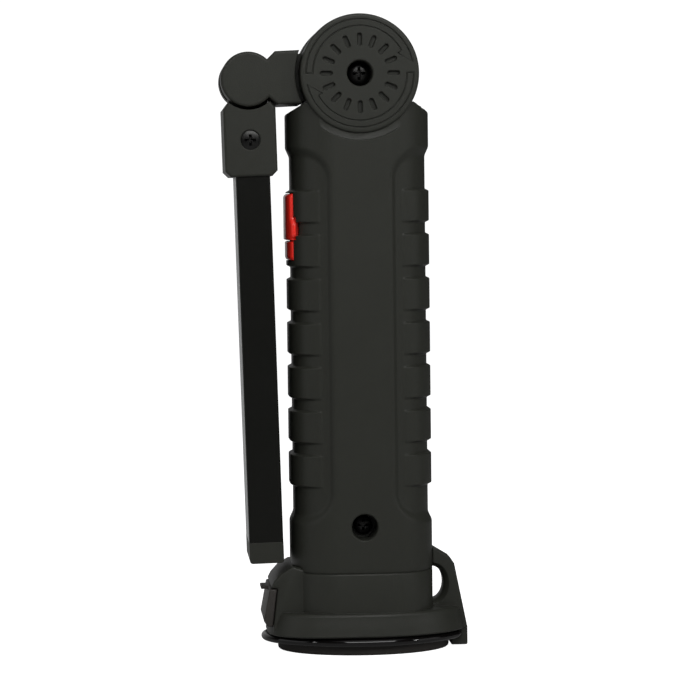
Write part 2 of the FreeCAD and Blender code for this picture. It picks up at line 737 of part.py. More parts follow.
def make_socket_screw():
    """The countersunk screw through the socket's near face."""
    recess = cross_recess(SOCKET_SCREW_HEAD_R * 1.3, 0.9, -ARM_HALF_DEPTH + 0.5, 0, -SOCKET_SCREW_DROP)
    return on_blade(take(socket_screw_form(0.0), recess))


def channel_top():
    """How far below the small hinge the channel starts."""
    return SOCKET_BOTTOM - SOCKET_GRIP


def channel_bottom():
    """How far below the small hinge the channel ends and the end cap starts."""
    return BLADE_REACH - END_CAP_LENGTH


def make_blade_channel():
    """The blade's extruded channel, open towards -X for the lens, with lips that hold it."""
    bar = blade_bar(0.0, channel_top(), channel_bottom())
    long_edges = [e for e in bar.Edges if e.BoundBox.ZLength > BLADE_REACH / 2]
    bar = bar.makeFillet(BLADE_EDGE, long_edges)
    outer_x = BLADE_OFFSET - BLADE_THICKNESS / 2
    half_depth = BLADE_WIDTH / 2
    z = (-channel_bottom() - 1, -channel_top() + 1)
    room_half = half_depth - CHANNEL_WALL
    room_x = (outer_x + LENS_THICKNESS, outer_x + BLADE_THICKNESS - CHANNEL_WALL)
    room = block(room_x, (-room_half, room_half), z)
    mouth_half = room_half - LENS_LIP + CHANNEL_WALL / 2
    mouth = block((outer_x - 1, outer_x + LENS_THICKNESS + 1), (-mouth_half, mouth_half), z)
    return on_blade(take(bar, room, mouth))


def make_led_board():
    """The blade's circuit board, against the channel's back wall."""
    back = BLADE_OFFSET + BLADE_THICKNESS / 2 - CHANNEL_WALL
    half = BLADE_WIDTH / 2 - CHANNEL_WALL - SNUG
    z = (-channel_bottom() + 1, -channel_top() - 1)
    return on_blade(block((back - LED_BOARD_THICKNESS, back), (-half, half), z))


def make_led_strip():
    """The strip of light-emitting paste on the board."""
    back = BLADE_OFFSET + BLADE_THICKNESS / 2 - CHANNEL_WALL - LED_BOARD_THICKNESS
    z = (-channel_bottom() + 4, -SOCKET_BOTTOM - 3)
    half = LED_STRIP_WIDTH / 2
    return on_blade(block((back - LED_STRIP_THICKNESS, back), (-half, half), z))


def make_blade_lens():
    """The frosted cover along the blade's outer face, with side lips behind the channel's."""
    outer_x = BLADE_OFFSET - BLADE_THICKNESS / 2
    half_depth = BLADE_WIDTH / 2
    room_half = half_depth - CHANNEL_WALL
    mouth_half = room_half - LENS_LIP + CHANNEL_WALL / 2
    z = (-channel_bottom(), -channel_top() - SNUG)
    window = block((outer_x, outer_x + LENS_THICKNESS + 1), (-mouth_half + SNUG, mouth_half - SNUG), z)
    flange = block(
        (outer_x + LENS_THICKNESS, outer_x + LENS_THICKNESS + 1), (-room_half + SNUG, room_half - SNUG), z
    )
    return on_blade(join(window, flange))


def make_end_cap():
    """The cap that closes the blade's free end, with a plug inside the channel."""
    cap = blade_bar(0.0, channel_bottom(), BLADE_REACH)
    low_edges = []
    for edge in cap.Edges:
        box = edge.BoundBox
        if box.ZLength < 1e-4 and abs(box.ZMin + BLADE_REACH) < 1e-4:
            low_edges.append(edge)
    across = [e for e in low_edges if e.BoundBox.YLength > 1]
    cap = cap.makeFillet(END_CAP_CORNER, across)
    plug_x = (
        BLADE_OFFSET - BLADE_THICKNESS / 2 + LENS_THICKNESS + 1 + SNUG,
        BLADE_OFFSET + BLADE_THICKNESS / 2 - CHANNEL_WALL - LED_BOARD_THICKNESS - SNUG,
    )
    plug_half = BLADE_WIDTH / 2 - CHANNEL_WALL - SNUG
    plug = block(plug_x, (-plug_half, plug_half), (-channel_bottom() - 1, -channel_bottom() + 3))
    return on_blade(cap.fuse(plug))


# ---- switch --------------------------------------------------------------------------------------
def switch_skin(half, proud, z_low, z_high):
    """A thin skin that follows the grip's rounded side, standing slightly proud, on a narrower neck."""
    outer = grip_bar(-proud, z_low, z_high)
    front = -GRIP_HALF - 2
    rim = block((front, -GRIP_HALF + BUTTON_RIM_BACK), (-half, half), (z_low, z_high))
    neck_x = (front, -GRIP_HALF + BUTTON_BACK)
    neck = block(neck_x, (-BUTTON_NECK_HALF, BUTTON_NECK_HALF), (z_low, z_high))
    return outer.common(rim.fuse(neck))


def flange_x():
    """Where the flanges behind the front wall start."""
    return -GRIP_HALF + GRIP_WALL + FLANGE_SET_BACK


def switch_flange(z_low, z_high):
    """A flange behind the front wall, wider than the opening, kept off the wall's rounded corners."""
    half = BUTTON_NECK_HALF + FLANGE_SET_BACK
    plate = block((flange_x(), flange_x() + FLANGE_THICKNESS), (-half, half), (z_low, z_high))
    return plate.common(grip_bar(GRIP_WALL + MOVING_GAP, z_low, z_high))


def make_power_button():
    """The red key with its two wings and the flange that keeps it in the shells."""
    key = switch_skin(BUTTON_HALF, BUTTON_PROUD, BUTTON_BOTTOM_Z, BUTTON_TOP_Z)
    wing_z = (BUTTON_WING_Z - BUTTON_WING_HEIGHT / 2, BUTTON_WING_Z + BUTTON_WING_HEIGHT / 2)
    wings = switch_skin(BUTTON_WING_HALF, BUTTON_PROUD, *wing_z)
    flange = switch_flange(BUTTON_BOTTOM_Z, BUTTON_TOP_Z + 1.2)
    stem_z = (BUTTON_BOTTOM_Z + BUTTON_TOP_Z) / 2
    stem = block((flange_x() - 2.0, flange_x() + FLANGE_THICKNESS), (-2, 2), (stem_z - 2, stem_z + 2))
    return join(key, wings, flange, stem)


def make_button_surround():
    """The fixed red piece below the key."""
    top = BUTTON_BOTTOM_Z - MOVING_GAP
    skin = switch_skin(BUTTON_HALF, SURROUND_PROUD, SURROUND_BOTTOM_Z, top)
    flange = switch_flange(SURROUND_BOTTOM_Z - 1.2, top)
    stem = block((flange_x() - 2.0, flange_x() + FLANGE_THICKNESS), (-4, 4), (SURROUND_BOTTOM_Z + 1, top - 1))
    return join(skin, flange, stem)


def tact_x():
    """Where the main board's front face stands, so that the tact switch meets the pressed key."""
    key_back = flange_x() + FLANGE_THICKNESS
    return key_back + BUTTON_TRAVEL + MOVING_GAP + TACT_HEIGHT


def make_tact_switch():
    """The small push switch behind the key."""
    z = (BUTTON_BOTTOM_Z + BUTTON_TOP_Z) / 2
    half = TACT_SIZE / 2
    body = block((tact_x() - TACT_HEIGHT / 2, tact_x()), (-half, half), (z - half, z + half))
    plunger = Part.makeCylinder(TACT_SIZE / 4, TACT_HEIGHT, V(tact_x() - TACT_HEIGHT, 0, z), V(1, 0, 0))
    return body.fuse(plunger)


def make_main_board():
    """The driver board that stands behind the switch."""
    half = BOARD_HALF_WIDTH
    return block((tact_x(), tact_x() + BOARD_THICKNESS), (-half, half), (BOARD_BOTTOM_Z, BOARD_TOP_Z))


# ---- power ---------------------------------------------------------------------------------------
def make_battery_cell():
    """The rechargeable cell, with its raised positive button."""
    top = CELL_BOTTOM_Z + CELL_LENGTH
    can = rod_z(CELL_R, CELL_BOTTOM_Z, top - 1, x=CELL_X)
    can = can.makeFillet(0.8, [e for e in can.Edges if e.BoundBox.ZLength < 1e-4])
    return can.fuse(rod_z(CELL_R / 3, top - 1.5, top, x=CELL_X))


def make_cell_carrier():
    """The cradle that holds the cell against the shells."""
    low = CELL_BOTTOM_Z + 3
    high = CELL_BOTTOM_Z + CELL_LENGTH - 5
    outer = rod_z(CELL_R + SNUG + CARRIER_WALL, low, high, x=CELL_X)
    ribs = []
    for z in (low, (low + high) / 2, high - CARRIER_WALL):
        rib = block((CELL_X - CELL_R, CELL_X + CELL_R), (-GRIP_DEPTH, GRIP_DEPTH), (z, z + CARRIER_WALL))
        ribs.append(rib.common(grip_bar(GRIP_WALL + SNUG, z, z + CARRIER_WALL)))
    bore = rod_z(CELL_R + SNUG, low - 1, high + 1, x=CELL_X)
    opening = block((CELL_X, CELL_X + 2 * CELL_R), (-CELL_R * 0.8, CELL_R * 0.8), (low - 1, high + 1))
    return take(outer.fuse(ribs), bore, opening)


def make_cell_tabs():
    """The nickel strips welded to the cell's two ends."""
    half = TAB_WIDTH / 2
    top = CELL_BOTTOM_Z + CELL_LENGTH
    low = CELL_BOTTOM_Z - TAB_THICKNESS
    x = (CELL_X - CELL_R + 1, CELL_X + 3)
    return Part.makeCompound(
        [
            block(x, (-half, half), (top, top + TAB_THICKNESS)),
            block(x, (-half, half), (low, CELL_BOTTOM_Z)),
        ]
    )


def charge_board_top():
    """The height of the charging board's upper face."""
    return PORT_CENTRE_Z - USB_HEIGHT / 2


def make_charge_board():
    """The small charging board in the base."""
    top = charge_board_top()
    return block((PORT_FACE_TOP_X + 2.2, -6.0), (-9.0, 9.0), (top - BOARD_THICKNESS, top))


def make_usb_socket():
    """The charging socket's steel shell with its contact tongue."""
    half = USB_WIDTH / 2
    high = USB_HEIGHT / 2
    mouth = PORT_FACE_TOP_X + 1.6
    body = block((mouth, mouth + USB_LENGTH), (-half, half), (PORT_CENTRE_Z - high, PORT_CENTRE_Z + high))
    body = body.makeFillet(high * 0.9, [e for e in body.Edges if e.BoundBox.XLength > 1])
    room = block(
        (mouth - 1, mouth + USB_LENGTH - 1),
        (-half + USB_WALL, half - USB_WALL),
        (PORT_CENTRE_Z - high + USB_WALL, PORT_CENTRE_Z + high - USB_WALL),
    )
    room = room.makeFillet((high - USB_WALL) * 0.9, [e for e in room.Edges if e.BoundBox.XLength > 1])
    tongue_x = (mouth + 1, mouth + USB_LENGTH - 0.5)
    tongue = block(tongue_x, (-3.2, 3.2), (PORT_CENTRE_Z - 0.35, PORT_CENTRE_Z + 0.35))
    return join(take(body, room), tongue)


def make_board_lead():
    """The sleeve of wires that runs down the grip from the main board to the charging board."""
    x = tact_x() + BOARD_THICKNESS + LEAD_R
    drop_z = charge_board_top()
    return rod_z(LEAD_R, drop_z, BOARD_BOTTOM_Z + 6, x=x, y=BOARD_HALF_WIDTH / 3)


# ---- base ----------------------------------------------------------------------------------------
def skirt():
    """The base's flared elliptical skirt."""
    low = oval(SKIRT_HALF_LENGTH, SKIRT_HALF_DEPTH, SKIRT_BOTTOM_Z, SKIRT_CENTRE_X)
    top_length = SKIRT_HALF_LENGTH - 1.4 * SKIRT_TAPER
    high = oval(top_length, SKIRT_HALF_DEPTH - 0.6 * SKIRT_TAPER, SKIRT_TOP_Z, SKIRT_CENTRE_X)
    return Part.makeLoft([low, high], True, True)


def port_housing():
    """The housing on the front of the base that holds the charging socket."""
    wall = -GRIP_HALF - SNUG
    outline = [
        (wall, SEAM_Z),
        (wall, SEAM_Z + 2.0),
        (wall - 3.4, SEAM_Z - 0.1),
        (wall - 5.4, SEAM_Z - 2.4),
        (wall - 6.6, SEAM_Z - 4.3),
        (wall - 6.6, PORT_LIP_Z),
        (PORT_FACE_TOP_X, PORT_LIP_Z),
        (PORT_FACE_BOTTOM_X, PORT_FOOT_Z),
        (PORT_FACE_BOTTOM_X, SKIRT_BOTTOM_Z + 1),
        (-GRIP_HALF + 8, SKIRT_BOTTOM_Z + 1),
        (-GRIP_HALF + 8, SEAM_Z),
    ]
    return side_prism(outline, PORT_HALF_DEPTH)


def cover_room():
    """The space that the rubber cover takes out of the skirt."""
    outline = [
        (PORT_FACE_TOP_X, PORT_LIP_Z),
        (PORT_FACE_TOP_X - 2 * COVER_THICKNESS, PORT_LIP_Z),
        (PORT_FACE_TOP_X - 2 * COVER_THICKNESS, PORT_FOOT_Z - PART_GAP),
        (PORT_FACE_BOTTOM_X, PORT_FOOT_Z - PART_GAP),
    ]
    return side_prism(outline, PORT_HALF_DEPTH)


def lanyard_plate():
    """The plate on the back of the base that holds the lanyard loop and the heel."""
    wall = GRIP_HALF + SNUG
    outline = [
        (GRIP_HALF - 6, SEAM_Z),
        (wall, SEAM_Z),
        (wall, SEAM_Z + 5.6),
        (wall + 0.3, SEAM_Z + 5.6),
        (wall + 5.2, SEAM_Z + 2.6),
        (wall + 6.4, SEAM_Z + 0.9),
        (wall + 10.1, SKIRT_BOTTOM_Z + 0.8),
        (wall + 10.3, SKIRT_BOTTOM_Z),
        (GRIP_HALF - 6, SKIRT_BOTTOM_Z),
    ]
    plate = side_prism(outline, LOOP_HALF_DEPTH)
    heel_y = (-HEEL_HALF_DEPTH, HEEL_HALF_DEPTH)
    heel = block((HEEL_INNER_X, HEEL_OUTER_X), heel_y, (HEEL_BOTTOM_Z, BASE_FLOOR_Z))
    return plate.fuse(heel)


def loop_hole():
    """The D-shaped lanyard hole, its flat side on the collar."""
    flat = GRIP_HALF
    middle = (LOOP_HOLE_TOP_Z + LOOP_HOLE_BOTTOM_Z) / 2
    outline = [
        (flat, LOOP_HOLE_TOP_Z),
        ((flat + LOOP_HOLE_WIDTH, middle), (flat, LOOP_HOLE_BOTTOM_Z)),
    ]
    return side_prism(outline, GRIP_DEPTH)


def base_void():
    """The hollow of the base: collar room, spigot bore, port room and the socket's opening."""
    room = grip_bar(BASE_WALL, BASE_FLOOR_Z, SEAM_Z - BASE_WALL)
    bore = grip_bar(GRIP_WALL + SPIGOT_WALL, SEAM_Z - BASE_WALL - 1, SEAM_Z + SPIGOT_HEIGHT + 1)
    port_room = block((PORT_FACE_TOP_X + 1.6, -GRIP_HALF + 4), (-9.5, 9.5), (BASE_FLOOR_Z + 2, PORT_LIP_Z))
    half = USB_WIDTH / 2 + PART_GAP
    high = USB_HEIGHT / 2 + PART_GAP
    opening_x = (PORT_FACE_BOTTOM_X - 1, PORT_FACE_TOP_X + 2)
    opening = block(opening_x, (-half, half), (PORT_CENTRE_Z - high, PORT_CENTRE_Z + high))
    return [room, bore, port_room, opening]


def magnet_places():
    """The two magnets' centres along X."""
    return (FOOT_CENTRE_X - MAGNET_SPREAD, FOOT_CENTRE_X + MAGNET_SPREAD)


def plate_block(clearance):
    """The magnets' back plate, grown by clearance."""
    low = MAGNET_SKIN + MAGNET_HEIGHT
    x = (magnet_places()[0] - MAGNET_R - clearance, magnet_places()[1] + MAGNET_R + clearance)
    half = MAGNET_R + clearance
    return block(x, (-half, half), (low, low + PLATE_THICKNESS))


def magnet_pockets(z_low, z_high):
    """The round pockets for the magnets between two heights."""
    return [rod_z(MAGNET_R + SNUG, z_low, z_high, x=x) for x in magnet_places()]


def make_base_housing():
    """The moulded base: collar, skirt, port housing, lanyard plate, heel and spigot."""
    collar = grip_bar(0.0, SKIRT_BOTTOM_Z, SEAM_Z)
    step = oval_slab(FOOT_HALF_LENGTH, FOOT_HALF_DEPTH, FOOT_THICKNESS, BASE_FLOOR_Z, FOOT_CENTRE_X)
    body = take(skirt(), cover_room())
    body = body.fuse([collar, step, port_housing(), lanyard_plate()])
    body = body.fuse(spigot(0.0, SPIGOT_HEIGHT, SEAM_Z - BASE_WALL))
    keep_collar = grip_bar(0.0, SKIRT_TOP_Z, SEAM_Z)
    pin_hole = rod_y(BAIL_WIRE_R + RUNNING, -GRIP_DEPTH, GRIP_DEPTH, x=BAIL_PIVOT_X, z=BAIL_Z)
    body = take(body, take(loop_hole(), keep_collar), pin_hole, plate_block(SNUG), *base_void())
    return take(body, *magnet_pockets(FOOT_THICKNESS - 1, MAGNET_SKIN + MAGNET_HEIGHT))


def make_foot_pad():
    """The rubber pad that the light stands on."""
    pad = oval_slab(FOOT_HALF_LENGTH, FOOT_HALF_DEPTH, 0, FOOT_THICKNESS, FOOT_CENTRE_X)
    pad = pad.makeFillet(FOOT_EDGE, [e for e in pad.Edges if e.BoundBox.ZMax < 1e-4])
    return take(pad, *magnet_pockets(MAGNET_SKIN, FOOT_THICKNESS + 1))


def make_base_magnets():
    """The two disc magnets over the foot."""
    top = MAGNET_SKIN + MAGNET_HEIGHT
    return Part.makeCompound([rod_z(MAGNET_R, MAGNET_SKIN, top, x=x) for x in magnet_places()])


def make_magnet_plate():
    """The steel plate that backs the magnets."""
    return plate_block(0.0)


def make_port_cover():
    """The rubber cover of the charging socket, with its pull tab and shallow plug."""
    gap = PART_GAP
    outline = [
        (PORT_FACE_TOP_X - gap, PORT_LIP_Z - gap),
        (PORT_FACE_TOP_X - COVER_THICKNESS, PORT_LIP_Z - gap),
        (PORT_FACE_TOP_X - COVER_THICKNESS - 0.3, PORT_LIP_Z - 2.0),
        (PORT_FACE_BOTTOM_X - COVER_THICKNESS - 0.4, PORT_FOOT_Z + 1.6),
        (PORT_FACE_BOTTOM_X - COVER_THICKNESS + 0.8, PORT_FOOT_Z),
        (PORT_FACE_BOTTOM_X - gap, PORT_FOOT_Z),
    ]
    strip = side_prism(outline, PORT_HALF_DEPTH - 0.4)
    tab_x = PORT_FACE_TOP_X - COVER_THICKNESS
    tab_z = PORT_LIP_Z - gap
    tab = block((tab_x - COVER_TAB_PROUD, tab_x + 1), (-4, 4), (tab_z - COVER_TAB_THICKNESS, tab_z))
    plug_high = USB_HEIGHT / 2 - PART_GAP
    plug = block(
        (PORT_FACE_BOTTOM_X - 0.2, PORT_FACE_TOP_X + 0.4),
        (-USB_WIDTH / 2 + PART_GAP, USB_WIDTH / 2 - PART_GAP),
        (PORT_CENTRE_Z - plug_high, PORT_CENTRE_Z + plug_high - 0.6),
    )
    return join(strip, tab, plug)


# ---- bail ----------------------------------------------------------------------------------------
def bail_path():
    """Half of the bail's centre line as (end point, point on the arc) steps, from the pivot to -X."""
    side_centre_y = BAIL_SIDE_R - BAIL_HALF_DEPTH
    end_r = _tangent_radius(BAIL_HALF_LENGTH, 0.0, side_centre_y)
    start_y = HEEL_HALF_DEPTH + MOVING_GAP
    corner_r = _tangent_radius(BAIL_PIVOT_X, start_y, side_centre_y)
    return side_centre_y, end_r, start_y, corner_r


def _tangent_radius(reach, offset, side_centre_y):
    """The arc that touches the line x = reach at y = offset and runs on into the side arc."""
    rest = BAIL_SIDE_R**2 - reach**2 - (offset + side_centre_y) ** 2
    return rest / (2 * (BAIL_SIDE_R - reach))


def _arc(centre, radius, start, end):
    """A flat arc at the bail's height, between two angles in degrees."""
    points = []
    for degrees in (start, (start + end) / 2, end):
        angle = math.radians(degrees)
        points.append(V(centre[0] + radius * math.cos(angle), centre[1] + radius * math.sin(angle), BAIL_Z))
    return Part.Arc(*points).toShape()


def make_bail_wire():
    """The wire bail that lies round the foot and turns in the heel."""
    side_centre_y, end_r, start_y, corner_r = bail_path()
    corner = (BAIL_PIVOT_X - corner_r, start_y)
    end = (-BAIL_HALF_LENGTH + end_r, 0.0)
    corner_turn = math.degrees(math.atan2(corner[1] + side_centre_y, corner[0]))
    end_turn = math.degrees(math.atan2(side_centre_y, end[0]))
    pin_end = start_y - 2.4
    edges = [
        Part.LineSegment(V(BAIL_PIVOT_X, pin_end, BAIL_Z), V(BAIL_PIVOT_X, start_y, BAIL_Z)).toShape(),
        _arc(corner, corner_r, 0, corner_turn),
        _arc((0, -side_centre_y), BAIL_SIDE_R, corner_turn, end_turn),
        _arc(end, end_r, end_turn, 360 - end_turn),
        _arc((0, side_centre_y), BAIL_SIDE_R, 360 - end_turn, 360 - corner_turn),
        _arc((corner[0], -corner[1]), corner_r, 360 - corner_turn, 360),
        Part.LineSegment(V(BAIL_PIVOT_X, -start_y, BAIL_Z), V(BAIL_PIVOT_X, -pin_end, BAIL_Z)).toShape(),
    ]
    path = Part.Wire(edges)
    section = Part.Wire(Part.makeCircle(BAIL_WIRE_R, V(BAIL_PIVOT_X, pin_end, BAIL_Z), Y_AXIS))
    return path.makePipeShell([section], True, True)


def make_parts():
    """Every sub-part as {node name: shape}."""
    parts = {}
    parts.update(make_grip_shells())
    parts["grip_screw"] = make_grip_screw()
    parts["hinge_bolt"] = make_hinge_bolt()
    parts["hinge_nut"] = make_hinge_nut()
    parts["hinge_bush"] = make_hinge_bush()
    parts["hinge_washers"] = make_hinge_washers()
    parts.update(make_arm_halves())
    parts["blade_pin"] = make_blade_pin()
    parts["blade_washers"] = make_blade_washers()
    parts.update(make_socket_halves())
    parts["socket_screw"] = make_socket_screw()
    parts["blade_channel"] = make_blade_channel()
    parts["led_board"] = make_led_board()
    parts["led_strip"] = make_led_strip()
    parts["blade_lens"] = make_blade_lens()
    parts["end_cap"] = make_end_cap()
    parts["power_button"] = make_power_button()
    parts["button_surround"] = make_button_surround()
    parts["tact_switch"] = make_tact_switch()
    parts["main_board"] = make_main_board()
    parts["battery_cell"] = make_battery_cell()
    parts["cell_carrier"] = make_cell_carrier()
    parts["cell_tabs"] = make_cell_tabs()
    parts["board_lead"] = make_board_lead()
    parts["charge_board"] = make_charge_board()
    parts["usb_socket"] = make_usb_socket()
    parts["base_housing"] = make_base_housing()
    parts["foot_pad"] = make_foot_pad()
    parts["base_magnets"] = make_base_magnets()
    parts["magnet_plate"] = make_magnet_plate()
    parts["port_cover"] = make_port_cover()
    parts["bail_wire"] = make_bail_wire()
    return parts


def main():
    """Writes one STEP file per sub-part."""
    os.makedirs("parts", exist_ok=True)
    for node, shape in make_parts().items():
        shape.exportStep("parts/" + node + ".step")


main()
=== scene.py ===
"""Looks of a folding work light: soft-moulded grip, hinge cheeks, base, foot, bail, finishes and stage."""

import json
import math

import bmesh
import bpy
import numpy as np
from bpy.props import FloatProperty, FloatVectorProperty, IntProperty, PointerProperty
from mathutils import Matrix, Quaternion, Vector


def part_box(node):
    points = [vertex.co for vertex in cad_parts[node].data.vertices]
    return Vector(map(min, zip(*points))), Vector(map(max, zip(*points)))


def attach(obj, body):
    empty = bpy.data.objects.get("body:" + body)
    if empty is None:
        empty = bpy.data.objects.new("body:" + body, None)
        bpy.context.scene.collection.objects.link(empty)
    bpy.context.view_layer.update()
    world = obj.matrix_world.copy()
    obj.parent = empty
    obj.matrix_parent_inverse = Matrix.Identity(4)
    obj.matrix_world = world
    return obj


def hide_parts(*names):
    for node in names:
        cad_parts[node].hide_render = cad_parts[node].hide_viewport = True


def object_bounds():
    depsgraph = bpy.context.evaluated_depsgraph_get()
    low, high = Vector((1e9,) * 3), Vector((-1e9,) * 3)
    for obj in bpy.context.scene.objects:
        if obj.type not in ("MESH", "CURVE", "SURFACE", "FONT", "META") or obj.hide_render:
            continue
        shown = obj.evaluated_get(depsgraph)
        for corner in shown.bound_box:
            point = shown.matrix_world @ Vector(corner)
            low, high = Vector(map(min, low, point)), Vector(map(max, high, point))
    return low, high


bl_info = {
    "name": "Folding work light",
    "version": (1, 0, 0),
    "blender": (4, 5, 0),
    "location": "3D View > Sidebar > Work light",
    "description": "Builds the moulded pieces, finishes and stage of a folding work light",
    "category": "Object",
}

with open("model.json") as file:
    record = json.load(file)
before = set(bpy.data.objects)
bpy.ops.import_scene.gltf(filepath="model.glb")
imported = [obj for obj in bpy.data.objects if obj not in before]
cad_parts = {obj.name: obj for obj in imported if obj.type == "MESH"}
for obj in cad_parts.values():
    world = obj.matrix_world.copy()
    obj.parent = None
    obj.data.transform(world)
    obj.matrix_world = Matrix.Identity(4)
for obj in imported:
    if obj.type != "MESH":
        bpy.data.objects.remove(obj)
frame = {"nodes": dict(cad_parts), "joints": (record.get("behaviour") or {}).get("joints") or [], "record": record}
CAD_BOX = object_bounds()
MM = 0.001
JOINTS = {joint["name"]: joint for joint in frame["joints"]}
HEAD = Vector(JOINTS["arm_hinge"]["pos_m"])
BAIL_PIVOT = Vector(JOINTS["bail_hinge"]["pos_m"])
GRIP_LOW, GRIP_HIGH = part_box("grip_shell_near")
FOOT_LOW, FOOT_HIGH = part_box("foot_pad")
BAIL_LOW, BAIL_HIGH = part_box("bail_wire")
BUTTON_LOW, BUTTON_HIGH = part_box("power_button")
SURROUND_LOW, SURROUND_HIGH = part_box("button_surround")
COVER_LOW, COVER_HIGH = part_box("port_cover")
SCREW_LOW, SCREW_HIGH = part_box("grip_screw")
FINISH_NAMES = {}

# The shells: the hairline between them, and what is sunk in them for screws, nut and washers.
PARTING = 0.03 * MM
BOSS_RADIUS = 5.55 * MM
SCREW_RECESS = 3.85 * MM
SCREW_SEAT = 9.0 * MM
SCREW_HOLE = 1.55 * MM
BOLT_HOLE = 2.05 * MM
NUT_RECESS = 4.15 * MM
NUT_CORNER = 4.16 * MM
NUT_HEIGHT = 3.2 * MM
WASHER_RADIUS = 9.1 * MM
WASHER_FACE = 7.9 * MM

# The switch: where its skin starts and ends, its flange and the way through the wall.
SKIN_LOW = SURROUND_LOW.z + 1.2 * MM
SKIN_HIGH = BUTTON_HIGH.z - 1.2 * MM
SWITCH_GAP = 0.2 * MM
SPLIT_EDGE = 0.4 * MM
WAY_BACK = 4.8 * MM
FLANGE_FRONT = 4.0 * MM
FLANGE_HALF = 8.3 * MM
ROUND_STEPS = np.array((0.0, 0.02, 0.06, 0.13, 0.22, 0.35, 0.5, 0.68, 0.86, 1.0))

# The base: the port's slanted face, the socket's height, the magnets and the skirt's full front.
PORT_FACE_TOP = -25.6 * MM
PORT_FACE_LOW = -27.0 * MM
PORT_MIDDLE = 13.85 * MM
MAGNET_SPREAD = 11.5 * MM
MAGNET_POCKET = 7.1 * MM
SKIRT_FULLNESS = 3.4

# The stage: strength of the surroundings and the floor, and the camera's place.
WORLD_NEAR = 0.03
WORLD_FAR = 0.55
WORLD_SIDE = 0.08
WORLD_SEEN = 1.35
FLOOR_GLOW = 0.25
FLOOR_LIGHT = 1.15
FLOOR_HALF = 4.0
VIEW_CENTRE = Vector((-5.5 * MM, 0.0, 92.34 * MM))
VIEW_DISTANCE = 0.85
VIEW_TURN = -4.0
VIEW_RISE = 2.8
VIEW_ROLL = -0.67
VIEW_LENS = 150.4


# ---- settings ------------------------------------------------------------------------------------
def length(name, description, millimetres):
    """A length setting, given in millimetres and kept in metres."""
    return FloatProperty(
        name=name, description=description, default=millimetres * MM, min=0.0, precision=5, unit="LENGTH"
    )


def colour(name, description, red, green, blue):
    """A colour setting, in linear values."""
    return FloatVectorProperty(
        name=name,
        description=description,
        default=(red, green, blue, 1.0),
        size=4,
        min=0.0,
        max=1.0,
        subtype="COLOR",
    )


class WorkLightGrip(bpy.types.PropertyGroup):
    """Sizes of the grip's moulded form."""

    corner: length("Corner", "Radius of the grip's rounded section", 14.0)
    wall: length("Wall", "Thickness of the shells", 2.8)
    panel: length("Panel half width", "Half the width of the smooth panel between the sunk fields", 8.5)
    recess: length("Recess", "Depth of the sunk fields", 1.15)
    slope: length("Slope", "Width of the slope at a field's long inner edge", 2.2)
    end_slope: length("End slope", "Width of the slope at a field's two ends", 3.5)
    field_top: length("Field top", "Height where the sunk fields end", 150.1)
    field_bottom: length("Field bottom", "Height where the sunk fields start", 38.2)
    field_corner: length("Field corner", "Radius of the fields' inner corners", 10.0)
    pad_top: length("Pad top", "Height of the uppermost pad's top", 137.0)
    pad_height: length("Pad height", "Height of one pad", 9.4)
    pad_gap: length("Pad gap", "Groove between two pads", 3.6)
    pad_edge: length("Pad edge", "Width of the slope at a pad's ends", 0.8)
    pad_start: length("Pad start", "Distance from the middle where the pads start to rise", 12.3)
    pad_full: length("Pad full", "Distance from the middle where the pads are full", 18.0)
    shoulder: length("Shoulder", "Height where the shoulders start", 159.7)
    shoulder_rise: length("Shoulder rise", "Height of the slanted shoulders", 3.1)
    shoulder_run: length("Shoulder run", "Width of the slanted shoulders", 5.2)
    pads: IntProperty(name="Pads", description="Number of pads on each side", default=7, min=1)


class WorkLightCheek(bpy.types.PropertyGroup):
    """Sizes of the round hinge cheeks."""

    radius: length("Radius", "Radius of a cheek", 17.4)
    pocket: length("Pocket", "Radius of the ring sunk round a cheek", 18.8)
    pocket_depth: length("Pocket depth", "Depth of the ring sunk round a cheek", 0.8)
    inner: length("Inner face", "Distance of a cheek's inner face from the middle", 7.5)
    edge: length("Edge", "Width of the rounded rim", 0.75)
    slot_start: length("Slot start", "Inner end of the radial slots", 8.0)
    slot_end: length("Slot end", "Outer end of the radial slots", 11.7)
    slot_width: length("Slot width", "Width of the radial slots", 1.3)
    slot_depth: length("Slot depth", "Depth of the radial slots", 1.1)
    arrow_inner: length("Arrow inner", "Inner radius of the rotation arrows", 13.8)
    arrow_outer: length("Arrow outer", "Outer radius of the rotation arrows", 15.75)
    arrow_line: length("Arrow line", "Width of the arrows' engraved outline", 0.3)
    arrow_depth: length("Arrow depth", "Depth of the arrows' engraved outline", 0.3)
    bolt_recess: length("Bolt recess", "Radius of the bolt's counterbore", 3.75)
    bolt_depth: length("Bolt depth", "Depth of the bolt's counterbore", 6.0)
    slots: IntProperty(name="Slots", description="Number of radial slots", default=16, min=3)


